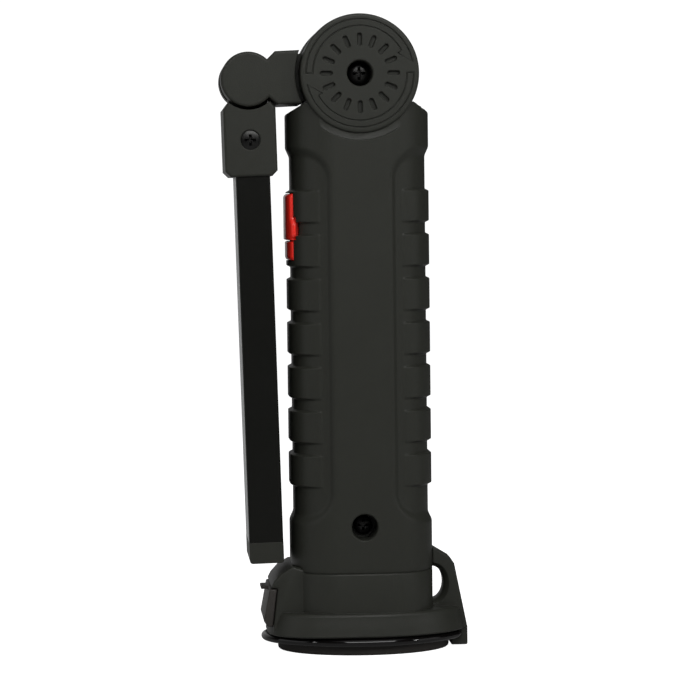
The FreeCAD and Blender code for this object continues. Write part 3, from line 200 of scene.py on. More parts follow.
class WorkLightBase(bpy.types.PropertyGroup):
    """Sizes of the base, its cover and the bail."""

    seam: length("Seam", "Height of the seam between the grip and the base", 24.2)
    skirt_top: length("Skirt top", "Height of the skirt's upper edge", 12.5)
    skirt_bottom: length("Skirt bottom", "Height of the skirt's lower edge", 5.6)
    skirt_centre: length("Skirt centre", "Distance of the skirt's centre behind the grip's axis", 1.35)
    skirt_length: length("Skirt half length", "Half the skirt's length at its lower edge", 30.05)
    skirt_depth: length("Skirt half depth", "Half the skirt's depth at its lower edge", 20.5)
    skirt_draft: length("Skirt draft", "How far the skirt draws in towards its top", 1.5)
    port_depth: length("Port half depth", "Half the depth of the charging port's housing", 12.6)
    plate_depth: length("Plate half depth", "Half the thickness of the lanyard plate", 4.75)
    heel_depth: length("Heel half depth", "Half the thickness of the heel", 4.2)
    loop_width: length("Loop width", "Width of the lanyard hole", 3.5)
    loop_top: length("Loop top", "Height of the lanyard hole's top", 24.4)
    loop_bottom: length("Loop bottom", "Height of the lanyard hole's bottom", 14.0)
    wire: length("Wire", "Radius of the bail's wire", 1.1)
    bail_side: length("Bail side", "Radius of the bail's long sides", 36.0)


class WorkLightSwitch(bpy.types.PropertyGroup):
    """Sizes of the switch key and its surround."""

    half: length("Half width", "Half the width of the key round the grip's front", 10.1)
    neck: length("Neck half width", "Half the width of the part that passes through the wall", 8.6)
    proud: length("Proud", "How far the key stands out of the grip", 0.7)
    surround_proud: length("Surround proud", "How far the surround stands out of the grip", 0.35)
    dip: length("Dip", "How far the rounded edges drop below the grip's surface", 0.45)
    edge: length("Edge", "Width of the rounded edges", 1.25)
    wing: length("Wing", "How far the two wings reach beyond the key", 1.1)
    wing_proud: length("Wing proud", "How far the wings stand out beyond the key", 0.2)
    wing_low: length("Wing bottom", "Height of the wings' lower end", 122.7)
    wing_high: length("Wing top", "Height of the wings' upper end", 129.2)
    rim_back: length("Rim back", "Depth of the skin's back behind the grip's front", 2.2)
    neck_back: length("Neck back", "Depth of the neck's back behind the grip's front", 3.05)
    travel: length("Travel", "Travel of the key", 0.8)


class WorkLightColours(bpy.types.PropertyGroup):
    """Colours of the finishes."""

    body: colour("Body", "Moulded black of the grip, arm and base", 0.0225, 0.0235, 0.0190)
    channel: colour("Channel", "Coated channel of the blade", 0.0042, 0.0044, 0.0033)
    red: colour("Red", "Switch key and its surround", 1.0, 0.030, 0.018)
    rubber: colour("Rubber", "Foot and port cover", 0.022, 0.020, 0.018)
    bail: colour("Bail", "Gloss black of the wire bail", 0.009, 0.008, 0.008)
    lens: colour("Lens", "Frosted lens of the blade", 0.78, 0.80, 0.80)
    phosphor: colour("Phosphor", "Light-emitting strip", 0.85, 0.62, 0.08)
    board: colour("Board", "Solder mask of the boards", 0.02, 0.16, 0.06)
    wrap: colour("Cell wrap", "Sleeve of the cell", 0.03, 0.13, 0.34)
    floor: colour("Floor", "Pale floor", 0.86, 0.86, 0.86)


# ---- shader building -----------------------------------------------------------------------------
class Link:
    """A socket's output. Arithmetic on it adds Math nodes."""

    def __init__(self, graph, socket):
        self.graph = graph
        self.socket = socket

    def _math(self, operation, first, second):
        return self.graph.node("ShaderNodeMath", {"operation": operation}, {0: first, 1: second})

    def __add__(self, other):
        return self._math("ADD", self, other)

    __radd__ = __add__

    def __sub__(self, other):
        return self._math("SUBTRACT", self, other)

    def __rsub__(self, other):
        return self._math("SUBTRACT", other, self)

    def __mul__(self, other):
        return self._math("MULTIPLY", self, other)

    __rmul__ = __mul__


class Graph:
    """The emptied node tree of a new material or world, and the way nodes are added to it."""

    def __init__(self, owner):
        owner.use_nodes = True
        self.owner = owner
        self.tree = owner.node_tree
        self.tree.nodes.clear()

    def node(self, kind, settings=None, values=None, output=0):
        """Adds a node: its settings first, then the values or links of its sockets."""
        made = self.tree.nodes.new(kind)
        for key, value in (settings or {}).items():
            setattr(made, key, value)
        for key, value in (values or {}).items():
            if isinstance(value, Link):
                self.tree.links.new(value.socket, made.inputs[key])
            else:
                made.inputs[key].default_value = value
        return None if output is None else Link(self, made.outputs[output])

    def place(self, scale=(1.0, 1.0, 1.0)):
        """Object coordinates, in metres, stretched by scale."""
        where = self.node("ShaderNodeTexCoord", output="Object")
        return self.node("ShaderNodeMapping", None, {"Vector": where, "Scale": scale})

    def noise(self, per_metre, detail=4.0, roughness=0.55, scale=(1.0, 1.0, 1.0)):
        """Noise between 0 and 1 with so many features to the metre."""
        return self.node(
            "ShaderNodeTexNoise",
            None,
            {"Vector": self.place(scale), "Scale": per_metre, "Detail": detail, "Roughness": roughness},
        )

    def blend(self, factor, first, second):
        """A colour between two colours."""
        return self.node("ShaderNodeMix", {"data_type": "RGBA"}, {0: factor, 6: first, 7: second}, output=2)

    def remap(self, value, low, high, start=0.0, end=1.0, soft=False):
        """A value that runs from start to end between two limits, held beyond them."""
        settings = {"interpolation_type": "SMOOTHSTEP"} if soft else None
        return self.node("ShaderNodeMapRange", settings, {"Value": value, 1: low, 2: high, 3: start, 4: end})

    def along(self, place, axis):
        """One axis of a place."""
        return self.node("ShaderNodeSeparateXYZ", None, {"Vector": place}, output=axis)

    def bevel(self, radius):
        """A surface normal that rounds sharp edges."""
        return self.node("ShaderNodeBevel", {"samples": 4}, {"Radius": radius})

    def bump(self, height, distance, strength=1.0, edge=None):
        """A surface normal from a height, in metres of relief, on rounded edges where they are given."""
        values = {"Height": height, "Distance": distance, "Strength": strength}
        if edge is not None:
            values["Normal"] = edge
        return self.node("ShaderNodeBump", None, values)

    def finish(self, **sockets):
        """Closes the material with one principled shader."""
        values = {name.replace("_", " "): value for name, value in sockets.items()}
        shader = self.node("ShaderNodeBsdfPrincipled", None, values)
        self.node("ShaderNodeOutputMaterial", None, {"Surface": shader}, output=None)
        return self.owner


def new_finish(name):
    """The graph of a new material."""
    return Graph(bpy.data.materials.new(name))


def shade(rgba, factor):
    """A colour made lighter or darker."""
    return tuple(channel * factor for channel in rgba[:3]) + (1.0,)


def moulded(name, rgba, grain_mm, relief_mm, rough):
    """Moulded plastic or rubber: a fine spark-eroded grain, slight mottling and softly broken edges."""
    g = new_finish(name)
    grain = g.noise(1 / (grain_mm * MM), detail=3.0)
    cloud = g.noise(55.0, detail=5.0, roughness=0.65)
    handled = g.remap(g.noise(24.0, detail=6.0), 0.42, 0.66)
    tone = g.blend(cloud, shade(rgba, 0.86), shade(rgba, 1.14))
    tone = g.blend(grain * 0.35, tone, shade(rgba, 1.7))
    return g.finish(
        Base_Color=tone,
        Roughness=rough + 0.12 * (grain - 0.5) - 0.05 * handled,
        Specular_IOR_Level=0.24,
        Normal=g.bump(grain, relief_mm * MM, 0.9, g.bevel(0.28 * MM)),
    )


def metal(name, rgba, rough, streak=(1.0, 1.0, 1.0), relief_mm=0.004):
    """Bare or plated metal with fine turning or drawing marks."""
    g = new_finish(name)
    marks = g.noise(2600.0, detail=3.0, scale=streak)
    stain = g.noise(90.0, detail=5.0)
    tone = g.blend(stain, shade(rgba, 0.8), shade(rgba, 1.1))
    return g.finish(
        Base_Color=tone,
        Metallic=1.0,
        Roughness=rough + 0.14 * (marks - 0.5),
        Normal=g.bump(marks, relief_mm * MM, 0.7),
    )


def coated(name, rgba, rough, relief_mm, clear=0.0, grain=2200.0, streak=(1.0, 1.0, 1.0), gloss=0.5):
    """A smooth painted, coated or gloss surface with a faint ripple and fine scuffs."""
    g = new_finish(name)
    ripple = g.noise(grain, detail=2.0, scale=streak)
    cloud = g.noise(70.0, detail=5.0)
    scuff = g.remap(g.noise(900.0, detail=8.0), 0.62, 0.72)
    tone = g.blend(cloud, shade(rgba, 0.88), shade(rgba, 1.12))
    return g.finish(
        Base_Color=tone,
        Roughness=rough + 0.05 * (cloud - 0.5) + 0.08 * scuff,
        Normal=g.bump(ripple, relief_mm * MM, 0.8, g.bevel(0.2 * MM)),
        Specular_IOR_Level=gloss,
        Coat_Weight=clear,
        Coat_Roughness=0.12,
    )


def frosted(name, rgba):
    """The blade's frosted cover: milky, half clear, with a fine sanded surface."""
    g = new_finish(name)
    sand = g.noise(5200.0, detail=3.0)
    cloud = g.noise(40.0, detail=3.0)
    tone = g.blend(cloud, shade(rgba, 0.96), shade(rgba, 1.0))
    return g.finish(
        Base_Color=tone,
        Roughness=0.42 + 0.1 * (sand - 0.5),
        Normal=g.bump(sand, 0.02 * MM, 0.8),
        Transmission_Weight=0.45,
        IOR=1.49,
    )


def circuit(name, rgba):
    """Green solder mask with faint tracks under it."""
    g = new_finish(name)
    brick = g.node(
        "ShaderNodeTexVoronoi",
        {"distance": "MANHATTAN", "feature": "F1"},
        {"Vector": g.place(), "Scale": 620.0},
        output="Distance",
    )
    tracks = g.remap(brick, 0.30, 0.38)
    tone = g.blend(tracks, rgba, shade(rgba, 1.9))
    normal = g.bump(tracks, 0.03 * MM)
    return g.finish(Base_Color=tone, Roughness=0.34 + 0.06 * tracks, Normal=normal, Coat_Weight=0.3)


def light_chips(name, rgba):
    """The yellow phosphor of the light strip, in a row of cells."""
    g = new_finish(name)
    cells = g.node(
        "ShaderNodeTexVoronoi",
        {"distance": "CHEBYCHEV", "feature": "F1"},
        {"Vector": g.place(), "Scale": 420.0, "Randomness": 0.0},
        output="Distance",
    )
    ring = g.remap(cells, 0.36, 0.44)
    tone = g.blend(ring, rgba, shade(rgba, 0.55))
    return g.finish(Base_Color=tone, Roughness=0.5 + 0.1 * ring, Normal=g.bump(1 - ring, 0.06 * MM))


def make_finishes(colours):
    """Every finish by the slot that it belongs to."""
    dark_metal = (0.034, 0.034, 0.033, 1.0)
    return {
        "body_plastic": moulded("Moulded black", colours.body, 0.34, 0.030, 0.47),
        "black_screw": metal("Black oxide", dark_metal, 0.34, relief_mm=0.006),
        "steel": metal("Turned steel", (0.55, 0.55, 0.56, 1.0), 0.28, (1.0, 8.0, 1.0)),
        "red_plastic": coated("Gloss red", colours.red, 0.30, 0.010, clear=0.25),
        "board": circuit("Solder mask", colours.board),
        "cell_wrap": coated("Shrink sleeve", colours.wrap, 0.28, 0.02, clear=0.3, grain=700.0),
        "inner_plastic": moulded("Inner moulding", (0.05, 0.05, 0.05, 1.0), 0.6, 0.03, 0.5),
        "nickel": metal("Nickel plate", (0.72, 0.70, 0.64, 1.0), 0.2),
        "lead_sleeve": moulded("Wire sleeve", (0.02, 0.02, 0.02, 1.0), 0.5, 0.02, 0.5),
        "foot_rubber": moulded("Foot rubber", colours.rubber, 0.5, 0.03, 0.62),
        "channel_metal": coated(
            "Channel coat", colours.channel, 0.34, 0.006, grain=1500.0, streak=(1.0, 1.0, 0.06), gloss=0.2
        ),
        "phosphor": light_chips("Phosphor", colours.phosphor),
        "frosted_lens": frosted("Frosted lens", colours.lens),
        "cover_rubber": moulded("Cover rubber", shade(colours.rubber, 1.6), 0.42, 0.025, 0.5),
        "bail_metal": coated("Gloss black", shade(colours.bail, 0.5), 0.07, 0.001, gloss=0.4),
    }


# ---- mesh building -------------------------------------------------------------------------------
def linked(name, data):
    """A new object of the scene that shows a mesh, light or camera."""
    made = bpy.data.objects.new(name, data)
    bpy.context.scene.collection.objects.link(made)
    return made


def lofted(name, rings):
    """A closed mesh object through rings of equally many points, capped at both ends."""
    count = len(rings[0])
    faces = []
    for start in range(0, count * (len(rings) - 1), count):
        for index in range(count):
            following = (index + 1) % count
            faces.append((start + index, start + following, start + count + following, start + count + index))
    last = count * (len(rings) - 1)
    faces.append(tuple(reversed(range(count))))
    faces.append(tuple(range(last, last + count)))
    mesh = bpy.data.meshes.new(name)
    mesh.from_pydata(np.concatenate(rings).tolist(), [], faces)
    work = bmesh.new()
    work.from_mesh(mesh)
    bmesh.ops.recalc_face_normals(work, faces=work.faces)
    work.to_mesh(mesh)
    work.free()
    return linked(name, mesh)


def turned(name, profile, centre, steps=160):
    """A solid turned about the Y direction through centre, from (radius, y) points."""
    angle = np.arange(steps) * (2 * math.pi / steps)
    rings = []
    for radius, y in profile:
        ring = np.empty((steps, 3))
        ring[:, 0] = centre.x + radius * np.cos(angle)
        ring[:, 1] = y
        ring[:, 2] = centre.z + radius * np.sin(angle)
        rings.append(ring)
    return lofted(name, rings)


def plate_ring(outline, y):
    """A ring of points from an outline of (x, z) points at one depth."""
    return np.array([(x, y, z) for x, z in outline])


def rectangle(x_low, x_high, z_low, z_high):
    """The four (x, z) corners of a rectangle."""
    return [(x_low, z_low), (x_high, z_low), (x_high, z_high), (x_low, z_high)]


def spun_ring(outline, centre, turn, y):
    """A ring of points from an outline of (a, b) points, turned about the Y direction at a centre."""
    cosine, sine = math.cos(turn), math.sin(turn)
    ring = [(centre.x + a * cosine - b * sine, y, centre.z + a * sine + b * cosine) for a, b in outline]
    return np.array(ring)


def on_side(profile, side):
    """A (radius, y) profile on the near side, -1, or the far side, 1."""
    return [(radius, side * y) for radius, y in profile]


def prism(name, outline, y_low, y_high):
    """An outline of (x, z) points made solid between two depths."""
    return lofted(name, [plate_ring(outline, y_low), plate_ring(outline, y_high)])


def joined(name, pieces):
    """Several separate closed meshes as one object."""
    work = bmesh.new()
    for piece in pieces:
        work.from_mesh(piece.data)
        bpy.data.objects.remove(piece)
    mesh = bpy.data.meshes.new(name)
    work.to_mesh(mesh)
    work.free()
    return linked(name, mesh)


def settle(target):
    """Applies an object's modifiers to its mesh."""
    graph = bpy.context.evaluated_depsgraph_get()
    mesh = bpy.data.meshes.new_from_object(target.evaluated_get(graph))
    target.modifiers.clear()
    target.data = mesh


def combine(target, tool, operation):
    """Cuts a tool out of the target, joins it on, or keeps only what lies in both."""
    change = target.modifiers.new("Change", "BOOLEAN")
    change.operation = operation
    change.solver = "MANIFOLD"
    change.object = tool
    settle(target)
    bpy.data.objects.remove(tool)


def cut(target, *tools):
    """Takes tools away from the target."""
    for tool in tools:
        combine(target, tool, "DIFFERENCE")


def add(target, *tools):
    """Joins tools on to the target."""
    for tool in tools:
        combine(target, tool, "UNION")


def soften(target, width, segments=3, angle=35.0):
    """Rounds the sharp edges of a tool before it is used."""
    change = target.modifiers.new("Soften", "BEVEL")
    change.width = width
    change.segments = segments
    change.limit_method = "ANGLE"
    change.angle_limit = math.radians(angle)
    settle(target)
    return target


def arc(centre, radius, start, end, steps):
    """Points (a, b) of an arc between two angles in degrees."""
    angles = np.radians(np.linspace(start, end, steps + 1))
    return [(centre[0] + radius * math.cos(a), centre[1] + radius * math.sin(a)) for a in angles]


def copy_of(source, name):
    """A second object with its own copy of a mesh."""
    return linked(name, source.data.copy())


def place_piece(piece, body, slot, *nodes, crease=32.0):
    """Gives a finished piece its finish and its body, and hides the CAD nodes that it stands for."""
    mesh = piece.data
    mesh.materials.clear()
    mesh.materials.append(bpy.data.materials[FINISH_NAMES[slot]])
    for polygon in mesh.polygons:
        polygon.use_smooth = True
        polygon.material_index = 0
    mesh.set_sharp_from_angle(angle=math.radians(crease))
    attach(piece, body)
    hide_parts(*nodes)


def halves(source, names, body, slot, nodes):
    """Splits a solid on the mid plane into its near and far mouldings, with a hairline between them."""
    low = np.array(CAD_BOX[0]) - 0.05
    high = np.array(CAD_BOX[1]) + 0.05
    square = rectangle(low[0], high[0], low[2], high[2])
    for side, name, node in zip((-1, 1), names, nodes):
        piece = copy_of(source, name)
        depth = sorted((side * PARTING, side * 0.1))
        combine(piece, prism("room", square, *depth), "INTERSECT")
        place_piece(piece, body, slot, node)
    bpy.data.objects.remove(source)


# ---- grip ----------------------------------------------------------------------------------------
def smooth(value):
    """A soft step from 0 to 1."""
    value = np.clip(value, 0.0, 1.0)
    return value * value * (3.0 - 2.0 * value)


def bar_section(half_width, half_depth, corner, corner_steps=56, flat_steps=8):
    """Points and outward normals round a rounded rectangle."""
    points, normals = [], []
    quarter = [(1, 1, 0), (-1, 1, 90), (-1, -1, 180), (1, -1, 270)]
    for sign_x, sign_y, start in quarter:
        centre = np.array((sign_x * (half_width - corner), sign_y * (half_depth - corner)))
        for step in range(corner_steps + 1):
            angle = math.radians(start + 90 * step / corner_steps)
            normal = np.array((math.cos(angle), math.sin(angle)))
            points.append(centre + corner * normal)
            normals.append(normal)
        end, normal = points[-1], normals[-1]
        turn = np.array((-normal[1], normal[0]))
        run = 2 * ((half_width if start in (0, 180) else half_depth) - corner)
        for step in range(1, flat_steps):
            points.append(end + turn * run * step / flat_steps)
            normals.append(normal)
    return np.array(points), np.array(normals)


def field_depth(x, z, s):
    """How far the sunk fields and their pads draw the surface in at (|x|, z)."""
    reach = (s.field_top - s.field_bottom) / 2
    middle = (s.field_top + s.field_bottom) / 2
    beyond_x = np.maximum(s.panel + s.field_corner - x, 0.0)
    beyond_z = np.maximum(abs(z - middle) - (reach - s.field_corner), 0.0)
    away = np.hypot(beyond_x, beyond_z)
    share = beyond_z / (away + 1e-9)
    inside = s.field_corner - away
    slope = s.slope + (s.end_slope - s.slope) * share * share
    sunk = smooth(inside / slope)
    pad = 0.0
    for index in range(s.pads):
        top = s.pad_top - index * (s.pad_height + s.pad_gap)
        bottom = top - s.pad_height
        half = s.pad_edge / 2
        up = smooth((z - bottom + half) / s.pad_edge)
        down = smooth((top + half - z) / s.pad_edge)
        pad = np.maximum(pad, up * down)
    step = smooth((x - s.pad_start) / (0.8 * MM))
    rise = smooth((x - s.pad_start) / (s.pad_full - s.pad_start))
    return s.recess * sunk * (1.0 - pad * (0.22 * step + 0.78 * rise))


def grip_rows(s):
    """The heights of the grip's rows, close together where the form changes."""
    rows = list(np.arange(GRIP_LOW.z, s.shoulder, 1.4 * MM))
    for index in range(s.pads):
        top = s.pad_top - index * (s.pad_height + s.pad_gap)
        for edge in (top, top - s.pad_height):
            rows.extend(edge + np.linspace(-0.75, 0.75, 9) * s.pad_edge)
    for edge in (s.field_top, s.field_bottom):
        inwards = -1 if edge == s.field_top else 1
        rows.extend(edge + inwards * np.arange(0.0, 14.0, 0.45) * MM)
    rows.extend(GRIP_LOW.z + np.array((0.0, 0.08, 0.18, 0.32, 0.6)) * MM)
    rows.extend(s.shoulder + np.array((-0.8, -0.5, -0.25, 0.0, 0.25, 0.5, 0.8, 1.6, 2.4, 2.7, 2.9, 3.1)) * MM)
    rows = np.unique(np.round(np.array(rows), 6))
    keep = [rows[0]]
    for z in rows[1:]:
        if z - keep[-1] > 0.07 * MM:
            keep.append(z)
    return np.array(keep)


def grip_bar(s):
    """The grip's outer form below the cheeks, with its sunk fields, pads and sloped shoulders."""
    half_width = (GRIP_HIGH.x - GRIP_LOW.x) / 2
    half_depth = abs(GRIP_LOW.y)
    points, normals = bar_section(half_width, half_depth, s.corner)
    slope = s.shoulder_run / s.shoulder_rise
    rings = []
    for z in grip_rows(s):
        draw = field_depth(abs(points[:, 0]), z, s)
        draw = draw + 0.28 * MM * (1.0 - smooth((z - GRIP_LOW.z) / (0.45 * MM)))
        ring = np.empty((len(points), 3))
        ring[:, :2] = points - normals * draw[:, None]
        over = (z - s.shoulder) / MM
        past = 0.5 * (over + math.sqrt(over * over + 0.12)) * MM
        limit = half_width + 0.05 * MM - slope * past
        ring[:, 0] = np.clip(ring[:, 0], -limit, limit)
        ring[:, 2] = z
        rings.append(ring)
    return lofted("grip", rings)


def cheek_profile(c, side):
    """The (radius, y) profile of one cheek, from its face to its inner side."""
    face = abs(GRIP_LOW.y)
    steps = 6
    points = [(c.radius - 2.2 * c.edge, face), (c.radius - 1.3 * c.edge, face)]
    for step in range(steps + 1):
        turn = math.pi / 2 * step / steps
        across, down = c.edge * math.sin(turn), 0.8 * c.edge * math.cos(turn)
        points.append((c.radius - c.edge + across, face - 0.8 * c.edge + down))
    points.append((c.radius, c.inner))
    return on_side(points, side)


def pocket_profile(c, side):
    """The (radius, y) profile of the ring sunk round a cheek, as a cutter."""
    face = abs(GRIP_LOW.y)
    floor = face - c.pocket_depth
    wall = c.pocket + 0.7 * MM
    points = [(wall - 0.3 * MM, floor), (wall - 0.08 * MM, floor + 0.08 * MM), (wall, floor + 0.25 * MM)]
    points += [(wall + 0.02 * MM, face - 0.14 * MM), (wall + 0.12 * MM, face), (wall + MM, face + 1.4 * MM)]
    return on_side(points, side)


def recess_tool(radius, depth, side, flare=0.35):
    """A round counterbore cutter in one cheek or shell, with a broken rim; depths from the face."""
    face = abs(GRIP_LOW.y)
    points = [(radius - 0.15 * MM, face - depth), (radius, face - depth + 0.15 * MM)]
    points += [(radius, face - flare * MM), (radius + 0.12 * MM, face - 0.14 * MM)]
    points += [(radius + flare * MM, face + 0.02 * MM), (radius + flare * MM, face + MM)]
    return on_side(points, side)


def slot_tool(c, index, side):
    """The cutter of one radial slot, round-ended and drafted."""
    face = abs(GRIP_LOW.y)
    half = c.slot_width / 2
    turn = 2 * math.pi * index / c.slots
    rings = []
    for grow, depth in (
        (-0.16, c.slot_depth),
        (-0.05, c.slot_depth - 0.12 * MM),
        (0.0, 0.14 * MM),
        (0.16, 0.0),
        (0.3, -0.4 * MM),
    ):
        radius = half + grow * MM
        outline = arc((c.slot_end - half, 0.0), radius, -90, 90, 8)
        outline += arc((c.slot_start + half, 0.0), radius, 90, 270, 8)
        rings.append(spun_ring(outline, HEAD, turn, side * (face - depth)))
    return lofted("slot", rings)


def arrow_outline(c, start, grow):
    """The (x, z) outline of one curved arrow that runs clockwise from the angle start."""
    inner, outer = c.arrow_inner - grow, c.arrow_outer + grow
    spread = math.degrees(grow / outer)
    neck = start - 155.0
    centre = (HEAD.x, HEAD.z)
    outline = arc(centre, outer, start + spread, neck - 13.0 - spread, 80)
    outline += arc(centre, inner - 1.25 * MM, neck + 2.0 + spread, neck + 2.2 + spread, 1)
    outline += arc(centre, inner, neck + 3.0, start + spread, 76)
    return outline


def arrow_tool(c, start, side):
    """The cutter of one rotation arrow: only its outline is engraved."""
    face = abs(GRIP_LOW.y)
    half = c.arrow_line / 2
    outer, inner = [], []
    near_floor = c.arrow_depth - 0.06 * MM
    for flare, depth in ((-0.04, c.arrow_depth), (0.0, near_floor), (0.06, 0.0), (0.12, -0.3 * MM)):
        level = side * (face - depth)
        outer.append(plate_ring(arrow_outline(c, start, half + flare * MM), level))
        inner.append(plate_ring(arrow_outline(c, start, -half - flare * MM), level))
    inner[0][:, 1] = side * (face - c.arrow_depth - MM)
    inner[-1][:, 1] = side * (face + MM)
    groove = lofted("arrow", outer)
    cut(groove, lofted("arrow middle", inner))
    return groove


def switch_rooms(k):
    """The seat and the way through the front wall for the key and its surround."""
    front = GRIP_LOW.x - MM
    seat = GRIP_LOW.x + k.rim_back + k.travel + SWITCH_GAP
    rooms = []
    for back, half, low, high in (
        (GRIP_LOW.x + WAY_BACK, k.neck, SKIN_LOW, SKIN_HIGH),
        (seat, k.half, SKIN_LOW, SKIN_HIGH),
        (seat, k.half + k.wing, k.wing_low, k.wing_high),
    ):
        outline = rectangle(front, back, low - SWITCH_GAP, high + SWITCH_GAP)
        rooms.append(prism("switch room", outline, -half - SWITCH_GAP, half + SWITCH_GAP))
    return rooms


def round_edge(away, edge):
    """The share of full height at a distance from a rounded edge."""
    near = np.clip(1.0 - away / edge, 0.0, 1.0)
    return np.sqrt(1.0 - near * near)


def switch_skin(name, s, k, low, high, proud, wings):
    """A rounded skin on the grip's front, on its neck: the key, which has wings, or the surround."""
    share = np.linspace(-1.0, 1.0, 61)
    top_edge, bottom_edge = (k.edge, SPLIT_EDGE) if wings else (SPLIT_EDGE, k.edge)
    centre_x = GRIP_LOW.x + s.corner
    flat = abs(GRIP_LOW.y) - s.corner
    between = np.arange(low + 1.5 * k.edge, high - 1.4 * k.edge, 0.35 * MM)
    rings = []
    for z in np.concatenate((low + k.edge * ROUND_STEPS, between, high - k.edge * ROUND_STEPS[::-1])):
        bulge = 0.0
        if wings:
            bulge = float(smooth((z - k.wing_low) / (1.3 * MM)) * smooth((k.wing_high - z) / (2.3 * MM)))
        half = k.half + bulge * k.wing
        y = half * np.sin(share * math.pi / 2)
        over = np.maximum(abs(y) - flat, 0.0)
        normal_y = np.sign(y) * over / s.corner
        normal_x = -np.sqrt(1.0 - normal_y**2)
        side = round_edge(half - abs(y), k.edge)
        end = min(float(round_edge(z - low, bottom_edge)), float(round_edge(high - z, top_edge)))
        bottom = -k.dip
        lift = bottom + (proud + bulge * k.wing_proud * abs(share) ** 2 - bottom) * side * end
        x = centre_x + (s.corner + lift) * normal_x
        y = np.sign(y) * np.minimum(abs(y), flat) + (s.corner + lift) * normal_y
        rim, neck = GRIP_LOW.x + k.rim_back, GRIP_LOW.x + k.neck_back
        back = [(rim, y[-1]), (rim, k.neck), (neck, k.neck), (neck, -k.neck), (rim, -k.neck), (rim, y[0])]
        outline = list(zip(x, y)) + back
        rings.append(np.array([(a, b, z) for a, b in outline]))
    return lofted(name, rings)


def make_switch(s, k):
    """The red key and its fixed surround, each with the flange that keeps it in the shells."""
    flange = GRIP_LOW.x + FLANGE_FRONT
    for name, node, body, low, high, proud, stem in (
        ("Power_key", "power_button", "button", BUTTON_LOW.z, SKIN_HIGH, k.proud, 2.0),
        ("Switch_surround", "button_surround", "grip", SKIN_LOW, SURROUND_HIGH.z, k.surround_proud, 4.0),
    ):
        piece = switch_skin(name, s, k, low, high, proud, node == "power_button")
        low_box, high_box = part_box(node)
        middle = (low + high) / 2
        for x, z, half in (
            ((flange, flange + MM), (low_box.z, high_box.z), FLANGE_HALF),
            ((flange - 2 * MM, flange + 0.5 * MM), (middle - 2 * MM, middle + 2 * MM), stem * MM),
        ):
            add(piece, prism("flange", rectangle(*x, *z), -half, half))
        place_piece(piece, body, "red_plastic", node, crease=40.0)


def make_grip(s, c, k):
    """The two grip shells with their hinge cheeks."""
    face = abs(GRIP_LOW.y)
    grip = grip_bar(s)
    cut(grip, *[turned("pocket", pocket_profile(c, side), HEAD) for side in (-1, 1)])
    add(grip, *[turned("cheek", cheek_profile(c, side), HEAD) for side in (-1, 1)])
    gap = 0.3 * MM
    cut(grip, turned("drum room", [(c.radius + gap, -c.inner), (c.radius + gap, c.inner)], HEAD))
    inner_points, _ = bar_section(
        (GRIP_HIGH.x - GRIP_LOW.x) / 2 - s.wall, face - s.wall, s.corner - s.wall, 16, 2
    )
    rings = []
    for z in (GRIP_LOW.z - MM, s.field_top - 2 * MM):
        rings.append(np.column_stack((inner_points, np.full(len(inner_points), z))))
    cut(grip, lofted("hollow", rings))
    screw = Vector((0.0, 0.0, (SCREW_LOW.z + SCREW_HIGH.z) / 2))
    boss_end = face - 1.4 * MM
    add(grip, turned("boss", [(BOSS_RADIUS, -boss_end), (BOSS_RADIUS, boss_end)], screw, 64))
    cut(grip, turned("screw recess", recess_tool(SCREW_RECESS, SCREW_SEAT, -1), screw, 96))
    cut(grip, turned("screw hole", [(SCREW_HOLE, -face + 8 * MM), (SCREW_HOLE, 9.1 * MM)], screw, 48))
    cut(grip, turned("bolt recess", recess_tool(c.bolt_recess, c.bolt_depth, -1), HEAD, 96))
    cut(grip, turned("nut recess", recess_tool(NUT_RECESS, c.bolt_depth, 1), HEAD, 96))
    reach = face - c.bolt_depth
    cut(grip, turned("bolt hole", [(BOLT_HOLE, -reach - MM), (BOLT_HOLE, reach + MM)], HEAD, 48))
    nut = arc((HEAD.x, HEAD.z), NUT_CORNER, 0, 300, 5)
    cut(grip, prism("nut pocket", nut, reach - NUT_HEIGHT, reach + MM))
    cut(grip, turned("washer seat", [(WASHER_RADIUS, -WASHER_FACE), (WASHER_RADIUS, WASHER_FACE)], HEAD, 96))
    for side in (-1, 1):
        cut(grip, joined("slots", [slot_tool(c, index, side) for index in range(c.slots)]))
        cut(grip, joined("arrows", [arrow_tool(c, start, side) for start in (0.0, 180.0)]))
    cut(grip, *switch_rooms(k))
    halves(
        grip,
        ("Grip_shell_near", "Grip_shell_far"),
        "grip",
        "body_plastic",
        ("grip_shell_near", "grip_shell_far"),
    )


# ---- screws --------------------------------------------------------------------------------------
def cross_tool(centre, size, top, depth):
    """The cutter of a cross-shaped driver recess, its wings tapering inwards."""
    wings = []
    for turn in (0.0, math.pi / 2):
        rings = []
        for y, share, thick in ((top - 0.3 * MM, 1.08, 1.08), (top, 1.0, 1.0), (top + depth, 0.46, 0.62)):
            reach, half = size / 2 * share, size * 0.115 * thick
            corners = ((reach, half), (-reach, half), (-reach, -half), (reach, -half))
            rings.append(spun_ring(corners, centre, turn, y))
        wings.append(lofted("wing", rings))
    add(wings[0], wings[1])
    return wings[0]


def screw_piece(name, node, body, profile, cross, depth):
    """A cross-head screw that faces the near side, from a (radius, y) profile that starts at its top."""
    low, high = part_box(node)
    centre = (low + high) / 2
    screw = turned(name, profile, centre, 72)
    cut(screw, cross_tool(centre, cross, profile[0][1], depth))
    place_piece(screw, body, "black_screw", node, crease=28.0)


